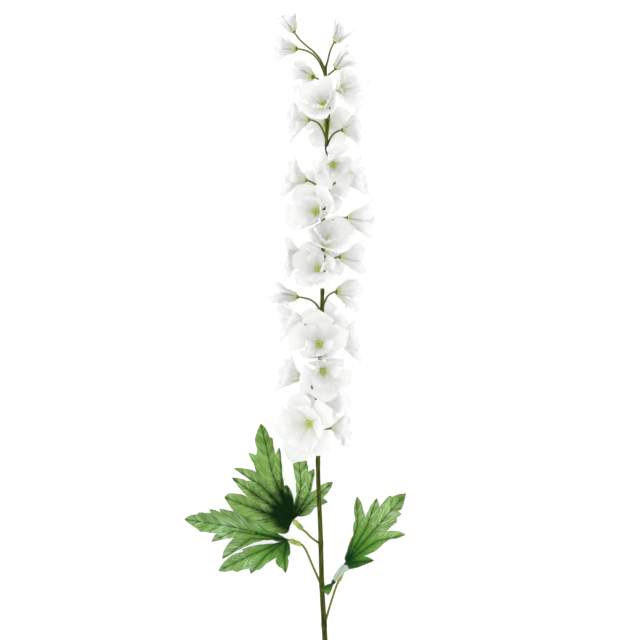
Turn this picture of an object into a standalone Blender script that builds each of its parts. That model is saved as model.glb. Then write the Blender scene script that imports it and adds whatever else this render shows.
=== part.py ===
"""White delphinium spray of cut fabric and moulded plastic, laid on its back.

X runs across the spray, Y along it from the cut end to the tip, and Z up from the surface.
The sizes below are millimetres and degrees. Points become metres when a mesh is made.
"""

import math
import random
from collections import namedtuple

import bmesh
import bpy
import numpy as np
from mathutils import Vector, geometry

MM = 0.001
GAP = 0.3
UP = np.array([0.0, 0.0, 1.0])

# Main stem: centreline points from the cut end to the tip, and its radius at each
STEM_LINE = [
    (8.0, 0.0, 2.9),
    (2.9, 100.0, 14.0),
    (0.0, 152.0, 19.0),
    (-1.6, 210.0, 24.0),
    (-4.0, 275.0, 28.5),
    (-2.5, 360.0, 32.0),
    (0.0, 430.0, 33.5),
    (2.0, 540.0, 34.0),
    (4.5, 597.0, 34.0),
    (3.5, 674.0, 33.0),
]
STEM_RADII = [2.9, 2.8, 2.6, 2.4, 2.2, 2.0, 2.0, 1.8, 1.6, 1.3]
STEM_SPANS = 16

# Flower stalks and the plastic parts at the heart of a bloom
STALK_RADIUS = 1.0
STALK_THROW = 0.5
STALK_LEAN = 0.35
STALK_ARRIVAL = 0.42
CUP_RADIUS = 2.3
CUP_NECK = 1.15
CUP_DEPTH = 2.0
STALK_SPANS = 5
STALK_SIDES = 4
SPACER_RADIUS = 2.2
EYE_RADIUS = 2.2
EYE_HEIGHT = 2.6
EYE_SHOULDER = 0.4
EYE_CROWN = 0.45
TURNED_STEPS = 6

# Petals: a steep root and a flatter tip either side of the cup angle, an edge that runs full
# late along the petal, and a cupped, twisted and waved face
SHEET = 0.62
NECKS = (3.8, 2.9)
INNER_LIFT = 1.05
INNER_SHARE = 0.78
INNER_EXTRA_CUP = 15.0
STEEPEST = (72.0, 80.0)
ROOT_STEEPER = 14.0
TIP_FLATTER = 22.0
TIP_VARIES = 8.0
PETAL_WIDTH = 0.41
WIDTH_VARIES = 0.08
LENGTH_RANGE = (0.92, 1.04)
WIDEST_LATE = 1.55
EDGE_FULL = 0.8
TIP_FLARE = 0.22
SECTOR_SHARE = 0.93
CUPPED = 0.1
TWIST = 1.2
WAVE = 0.9
WAVE_TURNS = 5.0
OUTER_ROWS = (0.0, 0.4, 0.76, 1.0)
INNER_ROWS = (0.0, 0.55, 1.0)
OUTER_STRIPS = 2
INNER_STRIPS = 1
LAYER_PETALS = 5
PETAL_TURN = 360.0 / LAYER_PETALS
NECK_SLOPE = math.tan(math.pi / LAYER_PETALS)
RING_REACH = 1.3
BEND_TRIES = (0.0, 8.0, -8.0, 16.0, -16.0, 26.0, -26.0, 38.0, 50.0)

# Room kept between neighbours: half a sheet and half a gap, then more for stalks and hubs
SKIN_ROOM = 0.6
LAYER_ROOM = 0.85
SOFT_ROOM = 3.5
STALK_ROOM = 1.6
STALK_FREE = 4.5
HUB_ROOM = 5.2
HUB_POINTS = (0.0, 2.5, 5.0)
BLADE_ROOM = 3.0
STEM_ROOM = 0.9
NEIGHBOUR_REACH = 4.0
CROSSING_MARGIN = 1.2
BEND_MARGIN = 1.5
BEND_COST = 0.02
WALL_DIRECTIONS = 420
WALL_PLACES = 7
PRESS_ROUNDS = 12

# A bloom: height along the spray, azimuth round the stem (0 is up, 90 is +X), reach of its hub
# from the stem's centreline, tilt towards the tip, turn about its own axis, petal length,
# cup angle of its petals, drop from its hub to where its stalk leaves the stem, and its own eye
Bloom = namedtuple("Bloom", "height azimuth reach tilt turn petal cup drop eye")
BLOOMS = [
    Bloom(709, -76, 33, 60, 10, 24, 68, 40, False),
    Bloom(699, 85, 10, 54, 40, 26, 62, 27, False),
    Bloom(692, -106, 31, 6, 25, 26, 62, 29, False),
    Bloom(672, 78, 11, 48, 0, 27, 60, 12, False),
    Bloom(664, -130, 17, 18, 60, 25, 50, 14, False),
    Bloom(650, 34, 24, 8, 15, 29, 34, 50, True),
    Bloom(634, -10, 18, 20, 0, 31, 32, 40, True),
    Bloom(620, -82, 19, 0, 30, 30, 44, 20, True),
    Bloom(616, 180, 14, 8, 10, 29, 36, 20, False),
    Bloom(610, 92, 17, 6, 50, 27, 44, 18, True),
    Bloom(575, 20, 19, -16, 20, 29, 34, 24, True),
    Bloom(560, 82, 20, 8, 40, 30, 40, 22, True),
    Bloom(560, -80, 20, 14, 10, 30, 48, 20, True),
    Bloom(552, -178, 15, 4, 30, 30, 36, 20, False),
    Bloom(528, -20, 20, 2, 50, 34, 28, 22, True),
    Bloom(522, 88, 25, -6, 5, 33, 40, 14, True),
    Bloom(496, 8, 18, 30, 35, 34, 34, 22, True),
    Bloom(483, 94, 18, 2, 20, 30, 42, 20, True),
    Bloom(482, -94, 19, 4, 45, 29, 45, 20, True),
    Bloom(484, 178, 15, 4, 10, 30, 36, 20, False),
    Bloom(470, -12, 20, 22, 15, 30, 31, 22, True),
    Bloom(448, 112, 16, 2, 30, 26, 44, 18, False),
    Bloom(443, -96, 26, 4, 50, 29, 62, 18, True),
    Bloom(416, -78, 19, 12, 5, 31, 42, 22, True),
    Bloom(412, 176, 15, 4, 25, 30, 36, 20, False),
    Bloom(398, 90, 18, 8, 35, 29, 42, 20, True),
    Bloom(396, -4, 20, 4, 20, 34, 30, 24, True),
    Bloom(369, 8, 20, -4, 50, 31, 30, 20, True),
    Bloom(362, -84, 20, 20, 0, 32, 45, 30, True),
    Bloom(338, 172, 15, 2, 40, 30, 36, 20, False),
    Bloom(317, -24, 20, -10, 30, 39, 27, 40, True),
    Bloom(311, 80, 14, -4, 10, 28, 42, 34, True),
]

# Leaves: where the blade begins, its cut edge clockwise from there, its lobes, the stalk's route
# and the collar's middle. A lobe is its tip (x, y, z) and the knee of the rib that runs to it.
Lobe = namedtuple("Lobe", "tip knee")
Leaf = namedtuple("Leaf", "name base edge lobes stalk collar")
LEAF_SHEET = 0.8
LOBE_SPREAD = 0.22
FALL_CURVE = 1.4
RIB_RADIUS = 0.95
RIB_TIP_RADIUS = 0.6
RIB_SIDES = 6
RIB_SHARE = 0.7
FOLD = 0.16
COLLAR_LENGTH = 12.0
COLLAR_RADIUS = 2.6
COLLAR_MOUTH = 0.8
COLLAR_TAPER = 2.0
SOCKET_RADIUS = 1.35
SOCKET_DEPTH = 3.6
PETIOLE_RADIUS = 1.15
PETIOLE_SPANS = 6
PETIOLE_LEAD = 1.5
STEM_SIDES = 8
LEAVES = [
    Leaf(
        "upper_left",
        (-29.0, 219.0, 13.0),
        [
            (-32, 213), (-33.5, 207), (-37, 205), (-42, 205.5), (-47, 206.5), (-51.5, 207.5),
            (-57.5, 210), (-64, 215), (-75, 221.5), (-88, 227), (-95, 236), (-98.5, 241.5),
            (-94, 245.5), (-83, 245), (-73, 241), (-81, 248.5), (-86, 255), (-91, 261.5), (-83, 260.5),
            (-76, 258), (-71, 258), (-77, 262.5), (-83, 266.5), (-89, 271), (-79, 270.5),
            (-72.5, 269.5), (-66, 267), (-68.5, 276.5), (-72, 281.5), (-74, 286.5), (-66, 284),
            (-65, 290), (-67.5, 299.5), (-65.5, 307), (-61.5, 316), (-56.5, 311), (-53, 302.5),
            (-49.5, 301), (-49, 293.5), (-47, 283), (-45, 288), (-42.5, 292), (-41, 279.5), (-40, 264),
            (-38, 253.5), (-35, 254), (-31.5, 249), (-29, 242), (-28, 234.5), (-25.5, 244.5),
            (-26, 258), (-28.5, 272), (-30.5, 284), (-24, 286.5), (-18.5, 284), (-15, 277), (-14, 267),
            (-8, 270.5), (-7.5, 264), (-9.5, 256.5), (-11.5, 246.5), (-6.5, 249), (-1, 254), (4, 256.5),
            (11, 257.5), (9, 251), (1, 241), (6, 237), (-0.5, 234), (-7.5, 231.5), (-12.5, 224.5),
            (-19, 222.5), (-24.5, 222.5),
        ],
        [
            Lobe((-98.5, 241.5, 11), (-56.5, 226)),
            Lobe((-91, 261.5, 7.5), (-65.5, 243)),
            Lobe((-89, 271, 8.5), (-61, 253.5)),
            Lobe((-61.5, 316, 5), (-50, 265.5)),
            Lobe((-42.5, 292, 10), (-40, 247.5)),
            Lobe((-35, 254, 17), (-31.5, 232)),
            Lobe((-24, 286.5, 12), (-21, 253.5)),
            Lobe((-8, 270.5, 14), (-13.5, 244.5)),
            Lobe((11, 257.5, 15), (-10.5, 238)),
        ],
        [(-4.6, 195.0, 22.8), (-10.5, 201.3, 19.0), (-15.8, 206.6, 16.5)],
        (-24.0, 214.0, 14.2),
    ),
    Leaf(
        "lower_left",
        (-35.0, 199.0, 7.5),
        [
            (-32.5, 194), (-32, 184), (-34.5, 181), (-33.5, 176), (-36.5, 164.5), (-40.5, 170),
            (-44, 171.5), (-47, 177), (-45.5, 181), (-50, 178.5), (-56.5, 174.5), (-62.5, 168.5),
            (-67, 167.5), (-72, 164), (-73.5, 170), (-81, 168), (-85.5, 166), (-90.5, 168),
            (-97.5, 166), (-104.5, 167), (-101.5, 172.5), (-94.5, 180), (-88.5, 184), (-79, 186.5),
            (-80.5, 189), (-73, 191.5), (-59.5, 194), (-48.5, 195), (-42, 196.5), (-50, 198.6),
            (-59.5, 198.2), (-68.5, 195.8), (-78.5, 191.5), (-87, 187), (-100.5, 179), (-99.5, 186),
            (-95.5, 193), (-88, 200.5), (-96, 200), (-103.5, 198), (-111.5, 196.5), (-109, 201.5),
            (-105.5, 205.5), (-115, 206), (-123.5, 207), (-125, 209), (-130.5, 212.5), (-139, 219),
            (-133, 223), (-125.5, 224), (-125, 226), (-117.5, 225.5), (-111.5, 225.5), (-113.5, 229.5),
            (-107.5, 228.5), (-101.5, 225.5), (-103.5, 230), (-94.5, 228.5), (-84.5, 226), (-73, 223.5),
            (-62.5, 217.5), (-52, 211), (-43, 204),
        ],
        [
            Lobe((-36.5, 164.5, 3), (-38, 183)),
            Lobe((-72, 164, 1.6), (-56.5, 183)),
            Lobe((-104.5, 167, 1.2), (-73, 182.5)),
            Lobe((-100.5, 179, 4), (-72, 199.8)),
            Lobe((-111.5, 196.5, 2), (-88.5, 207.5)),
            Lobe((-139, 219, 0.6), (-91.5, 212)),
        ],
        [(-2.5, 152.0, 18.8), (-9.0, 172.0, 13.5), (-16.0, 188.0, 10.5)],
        (-26.8, 196.0, 8.4),
    ),
    Leaf(
        "right",
        (24.0, 177.0, 22.0),
        [
            (22.5, 180.5), (25, 187.5), (28, 197.5), (31.5, 204.5), (31.5, 215), (33.5, 219.5),
            (32, 230.5), (35, 243), (39.5, 236.5), (41.5, 228), (44, 221.5), (46.5, 228),
            (49.5, 234), (55, 241), (57, 236), (57.5, 231.5), (62.5, 238), (68.5, 243.5),
            (70.5, 242), (77, 244.5), (84.5, 245.5), (83, 238), (80, 229.5), (76.5, 228),
            (80, 224.5), (75, 221), (75.5, 216.5), (70, 213), (64.5, 207.5), (74, 207.5),
            (79, 206.5), (84.5, 203.5), (76, 200), (67.5, 199), (61.5, 195), (55.5, 189),
            (49.5, 186), (42.5, 183), (48, 181), (52.5, 178), (44, 174.5), (34, 171), (28, 170),
            (22.5, 167), (17, 161), (11, 154), (9, 148), (6, 144), (2, 147.5), (-2, 149),
            (2.5, 153.5), (9, 156), (11, 161.5), (14, 167), (20.5, 174.5),
        ],
        [
            Lobe((-2, 149, 25.5), (11.5, 156.5)),
            Lobe((35, 243, 14), (35.5, 213.5)),
            Lobe((55, 241, 11), (45.5, 213.5)),
            Lobe((84.5, 245.5, 6), (51, 207.5)),
            Lobe((84.5, 203.5, 2), (55, 198)),
            Lobe((52.5, 178, 12), (35.5, 177)),
        ],
        [(4.0, 113.0, 15.3), (9.3, 137.0, 16.5), (14.2, 152.0, 17.8)],
        (18.9, 163.5, 19.5),
    ),
]

PETAL_WHITE = (0.86, 0.87, 0.84)
EYE_GREEN = (0.55, 0.68, 0.06)
STEM_OLIVE = (0.09, 0.11, 0.02)
LEAF_GREEN = (0.07, 0.24, 0.05)
COLLAR_GREEN = (0.38, 0.45, 0.08)


def unit(vector):
    return vector / np.linalg.norm(vector)


def smooth_line(points, spans):
    """Points on a Catmull-Rom curve through the given ones, evenly spread between first and last."""
    p = np.array(points, float)
    p = np.vstack([2 * p[0] - p[1], p, 2 * p[-1] - p[-2]])
    found = []
    for t in np.linspace(0.0, len(points) - 1 - 1e-9, spans + 1):
        i = int(t)
        f = t - i
        a, b, c, d = p[i : i + 4]
        bend = 2 * a - 5 * b + 4 * c - d
        found.append(0.5 * (2 * b + (c - a) * f + bend * f**2 + (3 * b - 3 * c + d - a) * f**3))
    return np.array(found)


FINE_STEM = smooth_line(STEM_LINE, 400)


def stem_at(height):
    """Centre of the main stem at a height, which stays over its tip above it."""
    x = np.interp(height, FINE_STEM[:, 1], FINE_STEM[:, 0])
    z = np.interp(height, FINE_STEM[:, 1], FINE_STEM[:, 2])
    return np.array([x, height, z])


def stem_radius(height):
    return float(np.interp(height, [p[1] for p in STEM_LINE], STEM_RADII))


class Petal:
    """One lobe of a cut sheet: a strip that bends up from the hub, cupped across and waved."""

    def __init__(self, layer, angle, length, cup, draw):
        self.angle = angle
        self.length = length
        self.start = math.radians(min(cup + ROOT_STEEPER, STEEPEST[layer]))
        self.end = math.radians(cup - TIP_FLATTER + draw.uniform(-TIP_VARIES, TIP_VARIES))
        self.lift = layer * INNER_LIFT
        self.neck = NECKS[layer]
        self.bend = 0.0
        self.twist = draw.uniform(-TWIST, TWIST)
        self.wave = draw.uniform(0.0, math.tau)
        self.width = PETAL_WIDTH * length * draw.uniform(1 - WIDTH_VARIES, 1 + WIDTH_VARIES)

    def surface(self, u, v):
        """Points at u across (-1 to 1) and v along (0 to 1), about the bloom's axis."""
        change = self.end + math.radians(self.bend) - self.start
        change = change if abs(change) > 1e-3 else 1e-3
        slope = self.start + change * v
        out = self.neck + self.length * (np.sin(slope) - math.sin(self.start)) / change
        rise = self.lift + self.length * (math.cos(self.start) - np.cos(slope)) / change
        neck = self.neck * NECK_SLOPE
        wide = self.width * (np.sin(math.pi * v**WIDEST_LATE) ** EDGE_FULL + TIP_FLARE * v**3)
        wide = np.minimum(wide + neck * (1 - v) ** 2, SECTOR_SHARE * out * NECK_SLOPE)
        wide = np.where(v < 1e-6, neck, wide)
        ease = np.minimum(1.0, 3.0 * v)
        across = u * wide
        waved = WAVE * np.sin(WAVE_TURNS * v + self.wave) * v * u
        proud = ease * (CUPPED * wide * u**2 + self.twist * u + waved)
        out = out - proud * np.sin(slope)
        rise = rise + proud * np.cos(slope)
        cos, sin = math.cos(self.angle), math.sin(self.angle)
        return np.stack([out * cos - across * sin, out * sin + across * cos, rise], axis=-1)


class Head:
    """A bloom in place: its frame, its petals, its stalk's route and the walls round it."""

    def __init__(self, number, row):
        draw = random.Random(number)
        self.row = row
        self.label = f"{number:02d}"
        side = math.radians(row.azimuth)
        tilt = math.radians(row.tilt)
        radial = np.array([math.sin(side), 0.0, math.cos(side)])
        axis = math.cos(tilt) * radial + np.array([0.0, math.sin(tilt), 0.0])
        across = unit(np.cross([0.0, 1.0, 0.0], radial))
        along = np.cross(axis, across)
        self.radial = radial
        self.axis = axis
        self.frame = np.array([across, along, axis])
        self.hub = stem_at(row.height) + row.reach * radial
        self.layers = []
        for layer in range(2):
            cup = row.cup + layer * INNER_EXTRA_CUP
            share = INNER_SHARE if layer else 1.0
            petals = []
            for k in range(LAYER_PETALS):
                angle = math.radians(row.turn + PETAL_TURN * (0.5 * layer + k))
                length = row.petal * share * draw.uniform(*LENGTH_RANGE)
                petals.append(Petal(layer, angle, length, cup, draw))
            self.layers.append(petals)
        self.walls = []
        self.stalk = self.stalk_route()

    def place(self, local):
        return self.hub + local @ self.frame

    def stalk_route(self):
        end = self.hub - (SHEET / 2 + GAP) * self.axis
        start = stem_at(self.row.height - self.row.drop)
        length = np.linalg.norm(end - start)
        lean = unit(np.array([0.0, 1.0, 0.0]) + STALK_LEAN * self.radial)
        first = start + STALK_THROW * length * lean
        last = end - STALK_ARRIVAL * length * self.axis
        t = np.linspace(0.0, 1.0, STALK_SPANS + 1)[:, None]
        cubic = (1 - t) ** 3 * start + 3 * (1 - t) ** 2 * t * first
        return cubic + 3 * (1 - t) * t**2 * last + t**3 * end

    def fixed(self):
        """Points that no neighbour may come near, with the room each needs."""
        heart = [(self.place(np.array([0.0, 0.0, z])), HUB_ROOM) for z in HUB_POINTS]
        route = smooth_line(self.stalk, 12)
        away = [p for p in route if np.linalg.norm((p - stem_at(p[1]))[[0, 2]]) > STALK_FREE]
        return heart + [(p, STALK_ROOM) for p in away]

    def sample(self, petal, rows):
        u, v = np.meshgrid([-1.0, 0.0, 1.0], rows[1:])
        return self.place(petal.surface(u.ravel(), v.ravel()))

    def cloud(self):
        outer = [self.sample(petal, OUTER_ROWS) for petal in self.layers[0]]
        inner = [self.sample(petal, INNER_ROWS) for petal in self.layers[1]]
        return np.vstack(outer + inner)

    def bend_clear(self):
        """Each petal takes the bend that crosses the walls least, an inner one no less than the outer."""
        outer, inner = self.layers
        for petal in outer:
            self.choose_bend(petal, OUTER_ROWS, BEND_TRIES)
        for k, petal in enumerate(inner):
            least = max(outer[k].bend, outer[(k + 1) % LAYER_PETALS].bend)
            self.choose_bend(petal, INNER_ROWS, [bend for bend in BEND_TRIES if bend >= least])

    def choose_bend(self, petal, rows, tries):
        costs = []
        for bend in tries:
            petal.bend = bend
            points = self.sample(petal, rows)
            deep = sum(np.clip(BEND_MARGIN - inside(points, wall), 0, None).sum() for wall in self.walls)
            costs.append(deep + BEND_COST * abs(bend))
        petal.bend = tries[int(np.argmin(costs))]


class Blade:
    """A leaf: its cut outline in plan and a height for every point of it."""

    def __init__(self, row):
        self.row = row
        self.base = np.array(row.base)
        self.walls = []
        self.tips = np.array([lobe.tip for lobe in row.lobes])
        self.plan, self.triangles = self.cut()

    def cut(self):
        base = self.base[:2]
        outline = [base, *map(np.array, self.row.edge)]
        spots = list(outline)
        lines = [(i, (i + 1) % len(outline)) for i in range(len(outline))]
        for lobe in self.row.lobes:
            knee = np.array(lobe.knee)
            rib = range(len(spots), len(spots) + 2)
            lines += list(zip([0, *rib], rib))
            spots += [knee, knee + RIB_SHARE * (np.array(lobe.tip[:2]) - knee)]
        cut = geometry.delaunay_2d_cdt([Vector(p) for p in spots], lines, [], 1, 1e-4)
        return np.array([tuple(p) for p in cut[0]]), [tuple(face) for face in cut[2]]

    def heights(self, plan):
        """Height over the surface: each lobe falls to its own tip and folds along its rib."""
        from_base = plan - self.base[:2]
        far = np.linalg.norm(from_base, axis=1) + 1e-9
        runs = self.tips[:, :2] - self.base[:2]
        long = np.linalg.norm(runs, axis=1)
        cosine = from_base @ (runs / long[:, None]).T / far[:, None]
        turn = np.arccos(np.clip(cosine, -1, 1))
        pull = np.exp(-((turn / LOBE_SPREAD) ** 2)) + 1e-9
        pull /= pull.sum(axis=1)[:, None]
        fall = (self.tips[:, 2] - self.base[2]) * (far[:, None] / long) ** FALL_CURVE
        aside = far * np.sin(np.min(turn, axis=1))
        return self.base[2] + (pull * fall).sum(axis=1) + FOLD * aside

    def cloud(self):
        return np.column_stack([self.plan, self.heights(self.plan)])

    def surface(self, plan):
        """Points of the blade's mid-surface, pressed clear of what is round it."""
        placed = np.column_stack([plan, self.heights(plan)])
        return press(placed, self.walls, (LEAF_SHEET - SHEET) / 2)

    def fixed(self):
        return [(self.base, BLADE_ROOM)]


def inside(points, wall):
    """How far each point lies on the allowed side of a wall."""
    normal, place, room = wall
    return place - points @ normal - room


def find_wall(one, other):
    """The plane between two bodies that their petals cross least, or None if all are blocked."""
    count = np.arange(WALL_DIRECTIONS)
    high = 1 - 2 * (count + 0.5) / WALL_DIRECTIONS
    spin = count * math.pi * (3 - math.sqrt(5))
    flat = np.sqrt(1 - high**2)
    normals = np.stack([flat * np.cos(spin), flat * np.sin(spin), high], axis=1)
    a, b = one.cloud() @ normals.T, other.cloud() @ normals.T
    low = np.max([p @ normals.T + room for p, room in one.fixed()], axis=0)
    top = np.min([p @ normals.T - room for p, room in other.fixed()], axis=0)
    best = None
    for share in np.linspace(0.0, 1.0, WALL_PLACES):
        place = low + share * (top - low)
        cost = (np.clip(a - place + CROSSING_MARGIN, 0, None) ** 2).sum(axis=0)
        cost += (np.clip(place - b + CROSSING_MARGIN, 0, None) ** 2).sum(axis=0)
        cost = np.where(low <= top, cost, np.inf)
        k = int(np.argmin(cost))
        if best is None or cost[k] < best[0]:
            best = (cost[k], normals[k], place[k])
    return best


def set_walls(bodies):
    """A wall between every two bodies that could meet, and one along the stem behind each bloom."""
    for body in bodies:
        body.walls = [(-UP, -SHEET / 2, 0.0)]
    for body in bodies:
        if isinstance(body, Head):
            room = stem_radius(body.row.height) + STEM_ROOM
            body.walls.append((-body.radial, -float(stem_at(body.row.height) @ body.radial), room))
    for i, one in enumerate(bodies):
        for other in bodies[i + 1 :]:
            a, b = one.cloud(), other.cloud()
            apart = np.maximum(a.min(axis=0) - b.max(axis=0), b.min(axis=0) - a.max(axis=0))
            if apart.max() > NEIGHBOUR_REACH:
                continue
            cost, normal, place = find_wall(one, other)
            if not math.isfinite(cost):
                raise ValueError(f"no wall fits between {one.row} and {other.row}")
            one.walls.append((normal, place, SKIN_ROOM))
            other.walls.append((-normal, -place, SKIN_ROOM))


def press(points, walls, extra):
    """The points moved inside every wall: eased near it, then held to it."""
    points = points.copy()
    reach = SOFT_ROOM
    for wall in walls:
        deep = inside(points, wall) - extra
        eased = reach * np.exp(np.minimum(deep - reach, 0.0) / reach)
        points -= np.where(deep < reach, eased - deep, 0.0)[:, None] * wall[0]
    for _ in range(PRESS_ROUNDS):
        for wall in walls:
            deep = inside(points, wall) - extra
            points -= np.clip(-deep, 0.0, None)[:, None] * wall[0]
    return points


def material(name, colour, roughness):
    made = bpy.data.materials.new(name)
    made.use_nodes = True
    shader = made.node_tree.nodes["Principled BSDF"]
    shader.inputs["Base Color"].default_value = (*colour, 1.0)
    shader.inputs["Roughness"].default_value = roughness
    shader.inputs["Metallic"].default_value = 0.0
    return made


def to_mesh(source, name):
    """A new mesh object from what Blender evaluates of the source, which is removed."""
    bpy.context.view_layer.update()
    graph = bpy.context.evaluated_depsgraph_get()
    mesh = bpy.data.meshes.new_from_object(source.evaluated_get(graph))
    work = bmesh.new()
    work.from_mesh(mesh)
    bmesh.ops.remove_doubles(work, verts=work.verts, dist=1e-6)
    work.to_mesh(mesh)
    work.free()
    mesh.name = name
    made = bpy.data.objects.new(name, mesh)
    made.matrix_world = source.matrix_world
    bpy.data.objects.remove(source)
    bpy.context.scene.collection.objects.link(made)
    return made


def tube(name, points, radii, sides):
    """A round bar along the points, its radius given at each."""
    curve = bpy.data.curves.new(name, "CURVE")
    curve.dimensions = "3D"
    curve.bevel_depth = MM
    curve.bevel_resolution = sides // 2 - 2
    curve.use_fill_caps = True
    spline = curve.splines.new("POLY")
    spline.points.add(len(points) - 1)
    for spot, place, radius in zip(spline.points, points, radii):
        spot.co = (*(place * MM), 1.0)
        spot.radius = radius
    source = bpy.data.objects.new(name + "_curve", curve)
    bpy.context.scene.collection.objects.link(source)
    return to_mesh(source, name)


def turned(name, profile, base, axis):
    """A turned piece: its closed profile of (radius, height) spun about the axis from the base."""
    work = bmesh.new()
    spots = [work.verts.new((r * MM, 0.0, h * MM)) for r, h in profile]
    loop = profile[0][0] > 0
    for here, beyond in zip(spots, spots[1:] + ([spots[0]] if loop else [])):
        work.edges.new((here, beyond))
    mesh = bpy.data.meshes.new(name)
    work.to_mesh(mesh)
    work.free()
    source = bpy.data.objects.new(name + "_profile", mesh)
    bpy.context.scene.collection.objects.link(source)
    screw = source.modifiers.new("Spin", "SCREW")
    screw.steps = TURNED_STEPS
    screw.render_steps = TURNED_STEPS
    screw.use_merge_vertices = True
    screw.merge_threshold = 1e-5
    source.rotation_mode = "QUATERNION"
    source.rotation_quaternion = Vector(axis).to_track_quat("Z", "Y")
    source.location = Vector(base * MM)
    made = to_mesh(source, name)
    work = bmesh.new()
    work.from_mesh(made.data)
    bmesh.ops.recalc_face_normals(work, faces=work.faces)
    work.to_mesh(made.data)
    work.free()
    return made


def thickened(name, work, sheet):
    """The solid of a sheet whose mid-surface is in the bmesh."""
    bmesh.ops.triangulate(work, faces=work.faces)
    mesh = bpy.data.meshes.new(name)
    work.to_mesh(mesh)
    work.free()
    source = bpy.data.objects.new(name + "_sheet", mesh)
    bpy.context.scene.collection.objects.link(source)
    solidify = source.modifiers.new("Thickness", "SOLIDIFY")
    solidify.thickness = sheet * MM
    solidify.offset = 0.0
    solidify.use_even_offset = False
    return to_mesh(source, name)


def fuse(trunk, pieces):
    """One body of the trunk and the pieces, by one Boolean union on their collection."""
    gathered = bpy.data.collections.new(trunk.name + "_repeats")
    for piece in pieces:
        gathered.objects.link(piece)
    union = trunk.modifiers.new("Union", "BOOLEAN")
    union.operation = "UNION"
    union.operand_type = "COLLECTION"
    union.collection = gathered
    union.solver = "MANIFOLD"
    name = trunk.name
    trunk.name = name + "_trunk"
    made = to_mesh(trunk, name)
    for piece in pieces:
        bpy.data.objects.remove(piece)
    bpy.data.collections.remove(gathered)
    return made


def petal_sheet(head, layer):
    """One cut sheet of five petals round a flat middle, pressed clear of its neighbours."""
    rows = INNER_ROWS if layer else OUTER_ROWS
    strips = INNER_STRIPS if layer else OUTER_STRIPS
    work = bmesh.new()
    for petal in head.layers[layer]:
        grid = bmesh.ops.create_grid(work, x_segments=strips, y_segments=len(rows) - 1, size=1.0)["verts"]
        u = np.array([spot.co.x for spot in grid])
        step = np.array([round((spot.co.y + 1) / 2 * (len(rows) - 1)) for spot in grid])
        placed = head.place(petal.surface(u, np.array(rows)[step]))
        pressed = press(placed, head.walls, layer * LAYER_ROOM)
        for spot, row, point, clear in zip(grid, step, placed, pressed):
            spot.co = (clear if row else point) * MM
    bmesh.ops.remove_doubles(work, verts=work.verts, dist=0.01 * MM)
    middle = head.hub + layer * INNER_LIFT * head.axis
    from_middle = {spot: head.frame @ (np.array(spot.co) / MM - middle) for spot in work.verts}
    near = RING_REACH * NECKS[layer]
    ring = [spot for spot in work.verts if np.linalg.norm(from_middle[spot]) < near]
    ring.sort(key=lambda spot: math.atan2(from_middle[spot][1], from_middle[spot][0]))
    work.faces.new(ring)
    bmesh.ops.recalc_face_normals(work, faces=work.faces)
    return thickened(f"layer_{layer}_{head.label}", work, SHEET)


def button(foot):
    """The profile of an eye: a low button whose foot is at the given height."""
    top = foot + EYE_HEIGHT
    shoulder = foot + EYE_SHOULDER * EYE_HEIGHT
    edge = [(EYE_RADIUS, foot), (EYE_RADIUS, shoulder), (EYE_CROWN * EYE_RADIUS, top)]
    return [(0.0, foot), *edge, (0.0, top)]


def make_bloom(head):
    """Two petal sheets on a spacer, with the eye as its own piece or as a button on the inner one."""
    outer, inner = [petal_sheet(head, layer) for layer in range(2)]
    spacer = [(0.0, 0.0), (SPACER_RADIUS, 0.0), (SPACER_RADIUS, INNER_LIFT), (0.0, INNER_LIFT)]
    joined = [inner, turned("spacer_" + head.label, spacer, head.hub, head.axis)]
    if head.row.eye:
        turned("eye_" + head.label, button(INNER_LIFT + SHEET / 2 + GAP), head.hub, head.axis)
    else:
        joined.append(turned("button_" + head.label, button(INNER_LIFT), head.hub, head.axis))
    outer.name = "floret_" + head.label
    fuse(outer, joined)


def make_leaf(blade):
    """The cut blade fused with its moulded rib, and the collar that holds it on its stalk."""
    work = bmesh.new()
    spots = [work.verts.new(point * MM) for point in blade.surface(blade.plan)]
    for face in blade.triangles:
        work.faces.new([spots[i] for i in face])
    bmesh.ops.recalc_face_normals(work, faces=work.faces)
    name = "leaf_" + blade.row.name
    sheet = thickened(name + "_blade", work, LEAF_SHEET)
    collar = np.array(blade.row.collar)
    inward = unit(blade.base - collar)
    begin = collar + (0.5 * COLLAR_LENGTH - SOCKET_DEPTH + GAP) * inward
    foot = blade.base[:2]
    longest = max(blade.row.lobes, key=lambda lobe: np.linalg.norm(np.array(lobe.tip[:2]) - foot))
    ends = blade.surface(np.array([foot, longest.knee]))
    radii = [RIB_RADIUS, RIB_RADIUS, RIB_TIP_RADIUS]
    fuse(tube(name, np.array([begin, *ends]), radii, RIB_SIDES), [sheet])
    make_collar(blade.row.name, collar, inward)


def make_collar(name, collar, inward):
    """A ferrule with a socket at each end, for the leaf stalk and for the rib."""
    half = COLLAR_LENGTH / 2
    mouth = COLLAR_MOUTH * COLLAR_RADIUS
    profile = [
        (SOCKET_RADIUS, -half),
        (mouth, -half),
        (COLLAR_RADIUS, COLLAR_TAPER - half),
        (COLLAR_RADIUS, half - COLLAR_TAPER),
        (mouth, half),
        (SOCKET_RADIUS, half),
        (SOCKET_RADIUS, half - SOCKET_DEPTH),
        (0.0, half - SOCKET_DEPTH),
        (0.0, SOCKET_DEPTH - half),
        (SOCKET_RADIUS, SOCKET_DEPTH - half),
    ]
    turned("collar_" + name, profile, collar, inward)


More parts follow.
